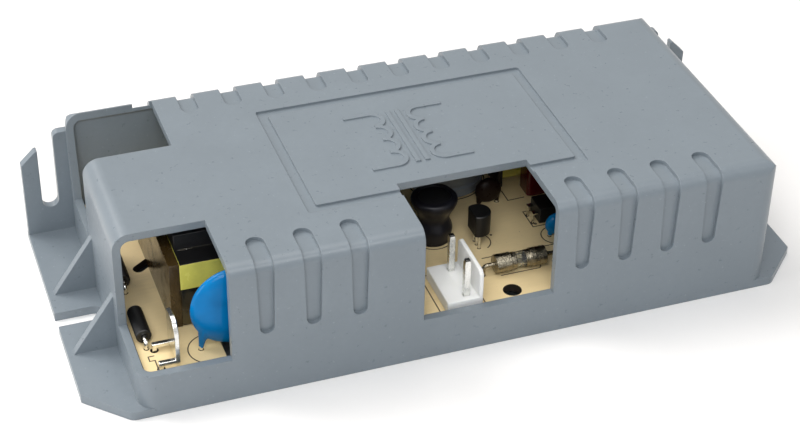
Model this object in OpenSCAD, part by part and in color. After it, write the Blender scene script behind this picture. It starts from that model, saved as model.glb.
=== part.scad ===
// High-voltage transformer module: a moulded case with two slotted side flanges and two
// rear ears, cut open at three places, over a loaded circuit board and a flat base cover.
// Lengths are in millimetres. Z is up and the underside is at Z = 0.
// The origin is the middle of the case's footprint. X runs along the case, Y to the rear.
// Places inside the case are measured from the outer front left corner of its footprint.

/* [Case] */
// Length of the case without its flanges
body_l = 121; // [112:1:135]
// Depth of the case from front to rear
body_w = 59; // [57:0.5:70]
// Height of the case
body_h = 28.2; // [27.8:0.2:34]
// Wall thickness of the case
wall = 1.5; // [1.3:0.1:1.8]
// Radius along the two end edges of the top
end_round = 3.2; // [2.5:0.1:4.5]
// Radius along the front and rear edges of the top
side_round = 2.4; // [2:0.1:3.5]
// Radius of the upright corners
corner_round = 3; // [2:0.1:3.2]
// How far the rear wall leans in at its top
draft = 1; // [0:0.1:1.4]

/* [Flanges and ears] */
// How far each flange and ear stands out from the case
flange_reach = 9; // [8.5:0.5:13]
// Thickness of the side flanges
flange_t = 1.75; // [1.5:0.05:2.5]
// Length of the slanted front corner of a flange
flange_chamfer = 7.5; // [5:0.5:8]
// Width of the fixing slot in a flange
slot_w = 4; // [3.4:0.1:4.4]
// Thickness of the gussets
gusset_t = 1.5; // [1:0.1:2.2]
// Reach of the gussets from the case
gusset_reach = 7.9; // [6:0.1:8.4]
// Height of the gussets above the flange
gusset_h = 11.4; // [8:0.2:14]
// Front face of the front gusset
gusset_front_y = 18.6; // [17:0.2:20]
// Front face of the rear gusset
gusset_rear_y = 36.9; // [35:0.2:40]
// Thickness of the rear ears
ear_t = 1.6; // [1.3:0.1:2]
// Top of the outer prong of an ear
ear_outer_z = 21; // [17:0.5:24]
// Top of the inner prong of an ear
ear_inner_z = 24.6; // [22:0.2:26]
// Width of the slot in an ear
ear_slot_w = 3.2; // [2.8:0.1:3.8]
// Distance of the ear slot's middle from the case
ear_slot_x = 4.1; // [3.8:0.1:4.6]
// Height of the ear slot's bottom centre
ear_slot_z = 9.3; // [7:0.1:12]
// Slanted corner of the outer prong
ear_chamfer = 2.8; // [1:0.1:2.9]

/* [Cut windows] */
// Sill height of the two front windows
sill_z = 8.8; // [8.4:0.1:11]
// Length of the front corner window along X
corner_window_l = 16.6; // [14:0.1:20]
// Depth of the front corner window along Y
corner_window_w = 15.4; // [13:0.1:16.5]
// Left edge of the front middle window
mid_window_x = 51.8; // [48:0.1:55]
// Length of the front middle window
mid_window_l = 25; // [20:0.5:28]
// Depth of the front middle window along Y
mid_window_w = 15.5; // [13:0.1:18]
// Length of the rear corner window along X
rear_window_l = 16.7; // [12:0.1:20]
// Front edge of the rear corner window
rear_window_y = 40.1; // [39:0.1:44]
// Slice of the case left standing behind the rear window, at its sill
rear_slice = 5.1; // [4:0.1:7]
// Slice of the case left standing behind the rear window, at the roof
rear_slice_top = 2.7; // [2.6:0.1:5]
// Sill height of the rear corner window
rear_sill_z = 10.4; // [9.5:0.1:14]

/* [Grooves and panel] */
// Centre of the first groove
groove_first = 14.6; // [13:0.1:16]
// Distance between grooves
groove_pitch = 8.44; // [7.5:0.01:8.6]
// Width of a groove at the top
groove_w_top = 3.3; // [2.6:0.1:4]
// Width of a groove at its lower end
groove_w_low = 2.6; // [2:0.1:2.6]
// Depth of the grooves
groove_depth = 0.8; // [0.4:0.1:0.9]
// How far a groove runs in over the top
groove_reach = 8; // [5:0.2:9]
// Height of a groove's rounded lower end
groove_low_z = 14.5; // [13:0.5:18]
// Left edge of the top panel's frame
panel_x = 34.3; // [30:0.1:36]
// Length of the top panel's frame
panel_l = 53.3; // [40:0.1:56]
// Front edge of the top panel's frame
panel_y = 11.8; // [11:0.1:16]
// Depth of the top panel's frame from front to rear
panel_w = 34.4; // [26:0.1:36]
// Width of the frame's groove
panel_groove_w = 1.9; // [1.2:0.1:2.6]
// Depth of the frame's groove
panel_groove_depth = 0.5; // [0.3:0.1:0.8]
// Height of the raised circuit symbol on the panel
relief_t = 0.3; // [0.2:0.05:0.5]

/* [Cover and board] */
// Thickness of the base cover
cover_t = 2; // [1.6:0.1:2.6]
// Clearance round the base cover
cover_gap = 0.15; // [0.1:0.05:0.3]
// Thickness of the circuit board
board_t = 1.6; // [1.2:0.1:1.7]
// Height of the board's upper face
board_top = 7.2; // [6.9:0.1:8]
// Clearance round the circuit board
board_gap = 0.4; // [0.2:0.1:0.8]
// Outer diameter of the screw bosses and the cover's posts
boss_d = 6.5; // [6:0.1:8]
// Diameter of the case screws
screw_d = 2.9; // [2.2:0.1:3.2]
// Length of the case screws below the head
screw_l = 14; // [10:0.5:16]
// Diameter of a screw head
head_d = 5.2; // [4.6:0.1:5.4]
// Height of a screw head
head_h = 1.9; // [1.4:0.1:2.2]
// Diameter of the free hole near the board's front edge
free_hole_d = 3.5; // [2.5:0.1:4.5]
// Width of the slanted isolating slot in the board
iso_slot_w = 2.2; // [1.5:0.1:3]
// Width of the slot between the disc capacitor's leads
disc_slot_w = 5; // [2:0.1:5]
// Length of the slot between the disc capacitor's leads
disc_slot_l = 7.6; // [5:0.2:8]

/* [Transformer] */
// Length of the winding former along X
former_l = 23.8; // [23:0.1:26]
// Depth of the winding former along Y
former_w = 27; // [26:0.1:28]
// Depth of the ferrite core along Y
core_w = 17.8; // [16:0.1:19]
// Thickness of the core's outer legs
core_leg = 3.3; // [2.8:0.1:3.5]
// Width of the core's centre leg
core_centre = 7.2; // [6:0.1:8]
// Thickness of the core's upper and lower bars
core_bar = 3.2; // [2.6:0.1:3.2]
// Wall of the winding former's tube
former_wall = 1; // [0.6:0.1:1.4]
// Thickness of the former's three plates
plate_t = 1.1; // [0.8:0.1:1.4]
// Height of the high-voltage winding's space
secondary_h = 2.4; // [1.8:0.1:3]
// Height of the primary winding's space
primary_h = 4.1; // [3.4:0.1:4.6]
// Thickness of the outer tapes
tape_t = 0.2; // [0.1:0.05:0.4]
// Thickness of the clear barrier plate
barrier_t = 1.9; // [1:0.1:2.2]

/* [Parts on the board] */
// Diameter of the high-voltage disc capacitor
disc_d = 15.8; // [12:0.2:17]
// Thickness of the high-voltage disc capacitor
disc_t = 4; // [3:0.1:4.6]
// Diameter of a diode's body
diode_d = 2.8; // [2.4:0.1:3.4]
// Length of a diode's body
diode_l = 7.6; // [6:0.1:9]
// Thickness of the output terminals' sheet
tab_t = 0.8; // [0.5:0.1:1]
// Length of the mains header
header_w = 11.4; // [10.8:0.1:12]
// Height of the mains header's base
header_h = 2.6; // [2:0.1:3.6]
// Top of the mains header's guard wall
guard_z = 15.4; // [13:0.1:18]
// Side of a square header pin
header_pin = 1.14; // [0.8:0.02:1.3]
// Distance between the two header pins
header_pitch = 7.92; // [7.5:0.02:8.2]
// Outer diameter of the fuse's end caps
fuse_d = 3.6; // [3.4:0.1:4.4]
// Length of the fuse over its end caps
fuse_l = 10; // [9:0.1:12]
// Largest diameter of the choke's sleeve
choke_d = 9; // [7.8:0.1:9.4]
// Height of the choke's sleeve
choke_h = 9.6; // [8:0.2:12]
// Diameter of the bulk capacitor's can
bulk_d = 15; // [12:0.5:15.5]
// Gap between the bulk capacitor and the roof
bulk_roof_gap = 1.7; // [1:0.1:4]
// Thickness of the heat sink
sink_t = 2; // [1.5:0.1:2.4]
// Length of the heat sink
sink_l = 21; // [18:0.5:22]
// Gap between the heat sink and the roof
sink_roof_gap = 2.2; // [1:0.1:4]
// Diameter of the thick component leads
lead_d = 0.8; // [0.6:0.05:0.9]

/* [Hidden] */
$fn = 48;

case_colour = [0.60, 0.64, 0.67];
board_colour = [0.80, 0.66, 0.42];
ferrite_colour = [0.10, 0.10, 0.11];
black_colour = [0.07, 0.07, 0.08];
tape_colour = [0.72, 0.74, 0.26];
amber_colour = [0.42, 0.34, 0.14];
copper_colour = [0.72, 0.40, 0.22];
tin_colour = [0.78, 0.78, 0.76];
blue_colour = [0.10, 0.50, 0.80];
white_colour = [0.93, 0.93, 0.91];

// Seat clearance between a round pin and the hole that holds it
pin_gap = 0.05;
// Clearance of a lead in its board hole
hole_gap = 0.12;
// Height that parts stand off the board's upper face
stand_off = 0.3;
// Length that leads stand out below the board
lead_tail = 1.6;
// Extra length that a cut runs past a face
over = 1;

board_low = board_top - board_t;
lead_low = board_low - lead_tail;
part_z = board_top + stand_off;
roof_z = body_h - wall;
// Angle of the rear wall, and how far it leans in at a height
lean = atan(draft/body_h);
function lean_in(z) = draft*z/body_h;

// Grooves run as far as the case is long, and keep clear of the windows at the front
groove_end_clear = 11;
groove_window_clear = 3;
rear_grooves = [for (i = [0:floor((body_l - groove_first - groove_end_clear)/groove_pitch)]) i];
front_grooves = [
    for (i = rear_grooves)
        let (x = groove_first + i*groove_pitch, reach = groove_w_top/2 + groove_window_clear)
            if (x - reach > corner_window_l
                && (x + reach < mid_window_x || x - reach > mid_window_x + mid_window_l)) i
];

// Case screws: two at the front, two at the rear, clear of the windows
boss_bite = 0.4;
boss_end = 5.5;
boss_y = wall + boss_d/2 - boss_bite;
screw_places = [
    [40.5, boss_y], [body_l - boss_end, boss_y],
    [24, body_w - boss_y], [body_l - boss_end, body_w - boss_y]
];

// Puts what is measured from the case's front left corner into the part's frame
module in_case() {
    translate([-body_l/2, -body_w/2, 0]) children();
}

// Copies a left end to the right end of the case as well
module both_ends() {
    children();
    translate([body_l, 0, 0]) mirror([1, 0, 0]) children();
}

module rounded_rect(l, w, r) {
    translate([r, 0]) square([l - 2*r, w]);
    translate([0, r]) square([l, w - 2*r]);
    for (x = [r, l - r], y = [r, w - r]) translate([x, y]) circle(r);
}

// Profile with a flat bottom and two rounded upper corners
module arch_profile(w, h, r) {
    square([w, h - r]);
    translate([r, 0]) square([w - 2*r, h]);
    for (x = [r, w - r]) translate([x, h - r]) circle(r);
}

// Profile with a flat bottom, two rounded upper corners and a rear side that leans in
module side_profile(w, h, r) {
    rear = w - (r + (h - r)*sin(lean))/cos(lean);
    polygon([
        [0, 0], [w, 0], [rear + r*cos(lean), h - r + r*sin(lean)],
        [rear, h], [r, h], [0, h - r]
    ]);
    for (y = [r, rear]) translate([y, h - r]) circle(r);
}

// Block with rounded upright corners and rounded top edges, by three crossing profiles
module case_block(l, w, h, r_end, r_side, r_corner) {
    intersection() {
        linear_extrude(h) rounded_rect(l, w, r_corner);
        translate([0, w, 0]) rotate([90, 0, 0]) linear_extrude(w) arch_profile(l, h, r_end);
        rotate([90, 0, 90]) linear_extrude(l) side_profile(w, h, r_side);
    }
}

// Tape wrapped round the former, with rounded outer corners
module tape_ring(h) {
    l = former_l + 2*tape_t;
    w = former_w + 2*tape_t;
    linear_extrude(h) difference() {
        translate([-l/2, -w/2]) rounded_rect(l, w, tape_t);
        square([former_l, former_w], center = true);
    }
}

module boss_columns(d, z, h) {
    for (p = screw_places) translate([p[0], p[1], z]) cylinder(d = d, h = h);
}

// Plan and front outline of a groove over a long top edge, both with a rounded end
module edge_groove() {
    intersection() {
        translate([0, 0, groove_low_z - groove_w_low])
            linear_extrude(body_h) union() {
                translate([-groove_w_top/2, -over])
                    square([groove_w_top, groove_reach - groove_w_top/2 + over]);
                translate([0, groove_reach - groove_w_top/2]) circle(d = groove_w_top);
            }
        translate([0, groove_reach + over, 0]) rotate([90, 0, 0])
            linear_extrude(groove_reach + 2*over) union() {
                polygon([
                    [-groove_w_low/2, groove_low_z], [groove_w_low/2, groove_low_z],
                    [groove_w_top/2, body_h], [groove_w_top/2, body_h + over],
                    [-groove_w_top/2, body_h + over], [-groove_w_top/2, body_h]
                ]);
                translate([0, groove_low_z]) circle(d = groove_w_low);
            }
    }
}

// Grooves as deep as a floor that follows the front, the roof and the leaning rear wall
module grooves() {
    difference() {
        union() {
            for (i = front_grooves)
                translate([groove_first + i*groove_pitch, 0, 0]) edge_groove();
            for (i = rear_grooves)
                translate([groove_first + i*groove_pitch, body_w - draft, 0])
                    mirror([0, 1, 0]) edge_groove();
        }
        translate([-over, groove_depth, 0]) rotate([90, 0, 90]) linear_extrude(body_l + 2*over)
            side_profile(body_w - 2*groove_depth, body_h - groove_depth, side_round - groove_depth);
    }
}

module panel_frame() {
    translate([panel_x, panel_y, body_h - panel_groove_depth]) linear_extrude(over + panel_groove_depth)
        difference() {
            rounded_rect(panel_l, panel_w, 0.5);
            translate([panel_groove_w, panel_groove_w])
                rounded_rect(panel_l - 2*panel_groove_w, panel_w - 2*panel_groove_w, 0.4);
        }
}

// Flange with a slanted, rounded front corner and an open fixing slot in its middle
module side_flange() {
    slot_inset = 0.2;
    slot_end = slot_inset + slot_w/2;
    root = corner_round + wall;
    rear = body_w - lean_in(flange_t);
    chamfer_x = 1.5;
    slant = atan2(flange_chamfer, flange_reach - chamfer_x);
    r = 2;
    bend_x = r*tan(slant/2) - chamfer_x;
    difference() {
        linear_extrude(flange_t) polygon(concat(
            [[-flange_reach, flange_chamfer], [-flange_reach, rear], [root, rear], [root, 0]],
            [for (i = [0:6]) [bend_x - r*sin(i*slant/6), r - r*cos(i*slant/6)]]
        ));
        translate([0, body_w/2, -over]) linear_extrude(flange_t + 2*over) {
            translate([-flange_reach - over, -slot_w/2])
                square([flange_reach + over - slot_end, slot_w]);
            translate([-slot_end, 0]) circle(d = slot_w);
        }
    }
}

module gusset(y) {
    translate([0, y + gusset_t, 0]) rotate([90, 0, 0]) linear_extrude(gusset_t) polygon([
        [wall/2, flange_t/2], [-gusset_reach, flange_t/2], [-gusset_reach, flange_t],
        [0, flange_t + gusset_h], [wall/2, flange_t + gusset_h]
    ]);
}

// Upright ear that leans with the rear wall, with an open slot between a slanted outer
// prong and a taller inner prong
module rear_ear() {
    foot = 0.2;
    inset = 0.05;
    prong_out = ear_slot_x + ear_slot_w/2;
    inner_w = ear_slot_x - ear_slot_w/2;
    end = flange_reach - inset;
    cut = min(ear_chamfer, end - prong_out - 0.1);
    inner_r = min(1.2, inner_w*0.8);
    translate([0, body_w - inset, 0]) rotate([90 + lean, 0, 0]) linear_extrude(ear_t) difference() {
        union() {
            polygon([
                [corner_round, foot], [-end, foot], [-end, ear_outer_z - cut],
                [-end + cut, ear_outer_z], [-prong_out, ear_outer_z],
                [-ear_slot_x, ear_slot_z], [-inner_w, ear_inner_z - inner_r],
                [corner_round, ear_inner_z - inner_r]
            ]);
            translate([-inner_w + inner_r, foot])
                square([inner_w - inner_r + corner_round, ear_inner_z - foot]);
            translate([-inner_w + inner_r, ear_inner_z - inner_r]) circle(inner_r);
        }
        translate([-ear_slot_x, ear_slot_z]) circle(d = ear_slot_w);
        translate([-prong_out, ear_slot_z]) square([ear_slot_w, body_h]);
    }
}

// Raised circuit symbol of a transformer: two rows of half rings beside two bars
module panel_symbol() {
    loop_r = 2.2;
    line_w = 0.9;
    loops = 4;
    bar_gap = 2.6;
    symbol_x = panel_x + panel_l*0.46;
    symbol_y = panel_y + panel_w*0.52;
    tail = 5;
    module coil_half() {
        for (i = [0:loops - 1]) translate([bar_gap + loop_r, (i - (loops - 1)/2)*2*loop_r])
            difference() {
                circle(loop_r + line_w/2);
                circle(loop_r - line_w/2);
                translate([0, -2*loop_r]) square(4*loop_r);
            }
        for (s = [-1, 1]) translate([bar_gap + loop_r - 0.1, s*loops*loop_r - line_w/2])
            square([tail, line_w]);
    }
    translate([symbol_x, symbol_y, body_h - relief_t]) linear_extrude(2*relief_t) {
        coil_half();
        mirror([1, 0]) coil_half();
        for (s = [-1, 1]) translate([s*line_w - line_w/2, -loops*loop_r])
            square([line_w, 2*loops*loop_r]);
    }
}

module cut_windows() {
    translate([-over, -over, sill_z])
        cube([corner_window_l + over, corner_window_w + over, body_h]);
    translate([mid_window_x, -over, sill_z]) cube([mid_window_l, mid_window_w + over, body_h]);
    translate([-over, 0, 0]) rotate([90, 0, 90]) linear_extrude(rear_window_l + over) polygon([
        [rear_window_y, rear_sill_z], [body_w - rear_slice, rear_sill_z],
        [body_w - rear_slice_top, body_h + over], [rear_window_y, body_h + over]
    ]);
}

module housing_shell() {
    color(case_colour) in_case() difference() {
        union() {
            case_block(body_l, body_w, body_h, end_round, side_round, corner_round);
            both_ends() {
                side_flange();
                gusset(gusset_front_y);
                gusset(gusset_rear_y);
                rear_ear();
            }
            panel_symbol();
        }
        difference() {
            translate([wall, wall, -over])
                case_block(body_l - 2*wall, body_w - 2*wall, roof_z + over,
                    end_round - wall, side_round - wall, corner_round - wall);
            boss_columns(boss_d, board_top, body_h);
        }
        boss_columns(screw_d + 2*pin_gap, board_top - over, screw_l - board_t + over);
        cut_windows();
        grooves();
        panel_frame();
    }
}

module base_cover() {
    inset = wall + cover_gap;
    head_seat = head_h + 0.6;
    color(case_colour*0.95) in_case() difference() {
        union() {
            translate([inset, inset, 0]) linear_extrude(cover_t)
                rounded_rect(body_l - 2*inset, body_w - 2*inset - lean_in(cover_t), corner_round - wall);
            intersection() {
                boss_columns(boss_d, 0, board_low);
                translate([inset, inset, 0])
                    cube([body_l - 2*inset, body_w - 2*inset - lean_in(board_low), board_low]);
            }
        }
        boss_columns(screw_d + 0.5, -over, board_top + over);
        boss_columns(head_d + 0.4, -over, head_seat + over);
    }
}

module case_screws() {
    head_seat = head_h + 0.6;
    cross_w = 0.9;
    color(tin_colour) in_case() difference() {
        for (p = screw_places) translate([p[0], p[1], 0]) {
            translate([0, 0, head_seat - head_h]) cylinder(d = head_d, h = head_h);
            translate([0, 0, head_seat]) cylinder(d = screw_d, h = screw_l - over);
        }
        for (p = screw_places, a = [0, 90]) translate([p[0], p[1], 0]) rotate([0, 0, a])
            translate([-head_d*0.3, -cross_w/2, -over])
                cube([head_d*0.6, cross_w, head_seat - head_h + 0.9 + over]);
    }
}

// Straight round leads at a list of places, from below the board up to a height
module lead_row(places, d, top) {
    for (p = places) translate([p[0], p[1], lead_low]) cylinder(d = d, h = top - lead_low);
}

// Lead that leaves along +X, bends down and ends below the board, from an axis height
module bent_lead(run, d, axis_z) {
    r = d;
    rotate([0, 90, 0]) cylinder(d = d, h = run - r);
    translate([run - r, 0, -r]) rotate([90, 0, 0]) rotate_extrude(angle = 90)
        translate([r, 0]) circle(d = d);
    translate([run, 0, lead_low - axis_z]) cylinder(d = d, h = axis_z - lead_low - r);
}

// Disc capacitor body in the XZ plane with two tapered necks, centred on its leads
module disc_body(d, t, spread) {
    r = d/2;
    centre_z = stand_off + 0.1 + r;
    neck_top = centre_z - sqrt(r*r - spread*spread/4) + 0.6;
    neck_r = 0.28*t;
    difference() {
        union() {
            translate([0, 0, centre_z]) rotate([90, 0, 0]) {
                rotate_extrude() translate([r - t/2, 0]) intersection() {
                    circle(d = t);
                    translate([-t/4, -t]) square([t, 2*t]);
                }
                cylinder(r = r - t/2, h = t, center = true);
            }
            for (s = [-1, 1]) translate([s*spread/2, 0, stand_off]) {
                cylinder(r1 = 0.6, r2 = neck_r, h = neck_top - stand_off);
                translate([0, 0, neck_top - stand_off]) cylinder(r1 = neck_r, r2 = 0.3, h = neck_r);
            }
        }
        for (s = [-1, 1]) translate([s*spread/2, 0, 0])
            cylinder(d = lead_d + 2*pin_gap, h = neck_top - 0.4);
    }
}

// Cutter for what crosses a board hole: one round hole at each place
module board_holes(places, d) {
    for (p = places) translate([p[0], p[1], board_low - over])
        cylinder(d = d + 2*hole_gap, h = board_t + 2*over, $fn = 16);
}

// Places of the parts, from the case's front left corner
// Those under and behind the middle window go with it, and the heat sink with the right end
former_x = 23.3;
former_y = 27.5;
disc_x = 18.9;
disc_y = 6.6;
disc_spread = min(12.5, disc_d*0.8);
diode_x = 3.6;
diode_z = board_top + stand_off/2 + diode_d/2;
diode_ys = [15, 31.8];
diode_run = 1.5;
terminal_x = 4.4;
terminal_y = 6.2;
return_y = 47.2;
terminal_half = 2.65;
header_x = mid_window_x + 5.3;
header_y = wall + 0.5;
header_base_l = 6;
header_pin_x = header_x + 4.1;
fuse_x = mid_window_x + 17.8;
fuse_y = 10.95;
fuse_z = board_top + stand_off + fuse_d/2;
fuse_run = 2.2;
free_hole_x = mid_window_x + 19.15;
free_hole_y = 5.2;
regulator_x = mid_window_x + 18.1;
regulator_y = 20.4;
choke_x = mid_window_x + 10.9;
choke_y = 25;
bulk_x = mid_window_x + 20;
bulk_y = 43.2;
film_x = mid_window_x + 33;
film_y = 31.6;
opto_x = mid_window_x + 34.5;
opto_y = 24.8;
small_x = mid_window_x + 33.5;
small_y = 18.6;
line_x = mid_window_x + 34.7;
line_y = 42.5;
thermistor_x = mid_window_x + 25;
thermistor_y = 32.5;
rectifier_x = body_l - 23;
rectifier_y = 12;

// Heat sink along the right end wall, in front of the rear boss, with two switches on it
sink_end_gap = 0.8;
sink_boss_gap = 0.5;
fin_t = 1;
fin_reach = 3.2;
fins = 7;
sink_x = body_l - wall - sink_end_gap - fin_reach - sink_t;
sink_y = body_w - boss_y - boss_d/2 - sink_boss_gap - sink_l;
sink_h = roof_z - part_z - sink_roof_gap;
switch_w = 7.8;
switch_t = 2.7;
switch_h = 10.8;
switch_z = board_top + 4.3;
switch_hole_drop = 3.7;
switch_hole_z = switch_z + switch_h - switch_hole_drop;
switch_pitch = 10;
switch_pin_pitch = 2.29;
switch_ys = [for (s = [-1, 1]) sink_y + sink_l/2 + s*switch_pitch/2];
switch_head_d = 5;
switch_head_h = 1.7;
bulk_h = roof_z - part_z - bulk_roof_gap;
small_d = 4.6;
small_t = 2.4;
small_spread = 2.54;
thermistor_d = 5.4;
thermistor_t = 2.6;
thermistor_spread = 3.8;

function header_places() = [
    for (s = [-1, 1]) [header_pin_x, header_y + header_w/2 + s*header_pitch/2]
];
function disc_places() = [for (s = [-1, 1]) [disc_x + s*disc_spread/2, disc_y]];
function diode_places() = [
    for (y = diode_ys, s = [-1, 1]) [diode_x, y + s*(diode_l/2 + diode_run)]
];
function fuse_places() = [
    [fuse_x - fuse_run, fuse_y], [fuse_x + fuse_l + fuse_run, fuse_y]
];
function former_pin_places() = [
    for (s = [-1, 1], i = [-2:2]) [former_x + i*4.5, former_y + s*(former_w/2 - 2)]
];
function regulator_places() = [for (i = [-1:1]) [regulator_x - 0.1, regulator_y + i*1.27]];
function choke_places() = [for (s = [-1, 1]) [choke_x + s*choke_d*0.22, choke_y]];
function bulk_places() = [for (s = [-1, 1]) [bulk_x + s*3.75, bulk_y]];
function film_places() = [for (s = [-1, 1]) [film_x + film_l/2 + s*5, film_y + film_w/2]];
function opto_places() = [for (s = [-1, 1], t = [-1, 1]) [opto_x + s*3.81, opto_y + t*1.27]];
function small_places() = [for (s = [-1, 1]) [small_x + s*small_spread/2, small_y]];
function thermistor_places() = [
    for (s = [-1, 1]) [thermistor_x + s*thermistor_spread/2, thermistor_y]
];
function line_places() = [
    for (s = [-1, 1], t = [-1, 1]) [line_x + s*(line_l - line_flange_t)/2, line_y + t*3.5]
];
function rectifier_places() = [
    for (s = [-1, 1], t = [-1, 1]) [rectifier_x + s*2.54, rectifier_y + t*3.81]
];
function switch_places() = [
    for (y = switch_ys, i = [-1:1]) [sink_x - switch_t/2, y + i*switch_pin_pitch]
];
function sink_places() = [for (s = [-1, 1]) [sink_x + sink_t/2, sink_y + sink_l/2 + s*(sink_l/2 - 3)]];
function resistor_places() = [
    for (p = resistor_centres, s = [-1, 1]) [p[0] + s*(resistor_l/2 + resistor_run), p[1]]
];
function terminal_feet(y) = [for (s = [-1, 1]) [terminal_x + tab_t/2, y + s*terminal_half]];

film_l = 13;
film_w = 4.5;
film_h = 12.4;
opto_l = 5.6;
opto_w = 4.6;
opto_h = 3.4;
resistor_d = 2.4;
resistor_l = 6.4;
resistor_run = 1.6;
resistor_z = board_top + stand_off/2 + resistor_d/2;
resistor_centres = [
    [body_l - 16, 18], [body_l - 16, 21.6], [46, 20], [46, 24], [46, 28], [46, 32]
];
terminal_foot_d = 1.3;

module circuit_board() {
    inset = wall + board_gap;
    slot_from = [7.5, 32.9];
    slot_to = [12.7, 36.6];
    color(board_colour) in_case() difference() {
        translate([inset, inset, board_low]) linear_extrude(board_t)
            rounded_rect(body_l - 2*inset, body_w - 2*inset - lean_in(board_top), corner_round - wall);
        boss_columns(screw_d + 0.5, board_low - over, board_t + 2*over);
        translate([free_hole_x, free_hole_y, board_low - over])
            cylinder(d = free_hole_d, h = board_t + 2*over);
        translate([disc_x - disc_slot_w/2, disc_y - disc_slot_l/2, board_low - over])
            linear_extrude(board_t + 2*over) rounded_rect(disc_slot_w, disc_slot_l, 0.5);
        for (p = [slot_from, slot_to]) translate([p[0], p[1], board_low - over])
            cylinder(d = iso_slot_w, h = board_t + 2*over);
        translate([slot_from[0], slot_from[1], board_low - over])
            rotate([0, 0, atan2(slot_to[1] - slot_from[1], slot_to[0] - slot_from[0])])
                translate([0, -iso_slot_w/2, 0])
                    cube([norm(slot_to - slot_from), iso_slot_w, board_t + 2*over]);
        board_holes(disc_places(), lead_d);
        board_holes(diode_places(), lead_d);
        board_holes(fuse_places(), lead_d);
        board_holes(former_pin_places(), lead_d);
        board_holes(header_places(), header_pin*sqrt(2));
        board_holes(regulator_places(), 0.5);
        board_holes(choke_places(), lead_d);
        board_holes(bulk_places(), lead_d);
        board_holes(film_places(), lead_d);
        board_holes(opto_places(), 0.6);
        board_holes(small_places(), 0.6);
        board_holes(thermistor_places(), lead_d);
        board_holes(line_places(), 0.6);
        board_holes(rectifier_places(), 0.6);
        board_holes(switch_places(), lead_d);
        board_holes(sink_places(), terminal_foot_d);
        board_holes(resistor_places(), 0.6);
        board_holes(terminal_feet(terminal_y), terminal_foot_d);
        board_holes(terminal_feet(return_y), terminal_foot_d);
    }
}

// Heights up through the transformer
core_z = part_z;
low_plate_z = core_z + core_bar;
secondary_z = low_plate_z + plate_t;
mid_plate_z = secondary_z + secondary_h;
primary_z = mid_plate_z + plate_t;
top_plate_z = primary_z + primary_h;
core_cap_z = top_plate_z + plate_t;
core_joint_z = (low_plate_z + core_cap_z)/2;
core_gap = 0.15;
pin_seat = 2.6;
tube_l = core_centre + 2*core_gap + 2*former_wall;
tube_w = core_w + 2*core_gap + 2*former_wall;

module at_former(z) {
    in_case() translate([former_x, former_y, z]) children();
}

// E-shaped core half: a bar on top of three legs that reach down by leg_h
module core_half(leg_h) {
    translate([0, core_w/2, 0]) rotate([90, 0, 0]) linear_extrude(core_w) {
        translate([-former_l/2, 0]) square([former_l, core_bar]);
        translate([-former_l/2, -leg_h]) square([core_leg, leg_h]);
        translate([former_l/2 - core_leg, -leg_h]) square([core_leg, leg_h]);
        translate([-core_centre/2, -leg_h]) square([core_centre, leg_h]);
    }
}

module core_upper() {
    color(ferrite_colour) at_former(core_cap_z) core_half(core_cap_z - core_joint_z);
}

module core_lower() {
    color(ferrite_colour) at_former(low_plate_z) mirror([0, 0, 1])
        core_half(core_joint_z - low_plate_z);
}

module winding_former() {
    rail_w = (former_w - core_w)/2 - 0.3;
    pocket_l = core_leg + core_gap;
    pocket_w = core_w + 2*core_gap;
    color(black_colour) difference() {
        at_former(0) difference() {
            union() {
                for (z = [low_plate_z, mid_plate_z, top_plate_z]) translate([0, 0, z])
                    linear_extrude(plate_t) square([former_l, former_w], center = true);
                translate([0, 0, low_plate_z]) linear_extrude(core_cap_z - low_plate_z)
                    square([tube_l, tube_w], center = true);
                for (s = [-1, 1]) translate([-former_l/2, s*(former_w - rail_w)/2 - rail_w/2, board_top])
                    cube([former_l, rail_w, low_plate_z - board_top]);
            }
            translate([0, 0, core_z]) linear_extrude(body_h)
                square([core_centre + 2*core_gap, pocket_w], center = true);
            for (s = [-1, 1]) translate([s*(former_l/2 - pocket_l/2 + over/2), 0, core_z])
                linear_extrude(body_h) square([pocket_l + over, pocket_w], center = true);
        }
        in_case() for (p = former_pin_places()) translate([p[0], p[1], board_top - over])
            cylinder(d = lead_d + 2*pin_gap, h = pin_seat + over);
    }
}

module former_pins() {
    color(tin_colour) in_case() lead_row(former_pin_places(), lead_d, board_top + pin_seat);
}

// Winding that fills one space of the former, round the tube and between the core's legs
module winding(h) {
    wind_gap = 0.2;
    wind_l = former_l - 2*core_leg - 2*wind_gap;
    wind_w = former_w - 2*wind_gap;
    linear_extrude(h) difference() {
        translate([-wind_l/2, -wind_w/2]) rounded_rect(wind_l, wind_w, 2);
        square([tube_l, tube_w], center = true);
    }
}

module primary_winding() {
    color(copper_colour) at_former(primary_z) winding(primary_h);
}

module secondary_winding() {
    color(copper_colour*0.8) at_former(secondary_z) winding(secondary_h);
}

module primary_tape() {
    color(tape_colour) at_former(primary_z)
        tape_ring(core_cap_z - primary_z);
}

module secondary_wrap() {
    color(amber_colour) at_former(part_z)
        tape_ring(primary_z - part_z);
}

module barrier_plate() {
    plate_w = former_w + 2*tape_t;
    color(amber_colour) at_former(board_top)
        translate([-former_l/2 - tape_t - barrier_t, -plate_w/2, 0])
            cube([barrier_t, plate_w, core_cap_z - board_top + 0.4]);
}

module at_disc() {
    in_case() translate([disc_x, disc_y, board_top]) children();
}

module hv_capacitor() {
    color(blue_colour) at_disc() disc_body(disc_d, disc_t, disc_spread);
}

module hv_capacitor_leads() {
    color(tin_colour) in_case() lead_row(disc_places(), lead_d, part_z + 0.6);
}

module diode_body(y) {
    color(black_colour) in_case() translate([diode_x, y, diode_z]) difference() {
        rotate([90, 0, 0]) cylinder(d = diode_d, h = diode_l, center = true);
        for (s = [-1, 1]) translate([0, s*diode_l/2, 0]) rotate([90, 0, 0])
            cylinder(d = lead_d + 2*pin_gap, h = 1.6, center = true);
    }
}

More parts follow.
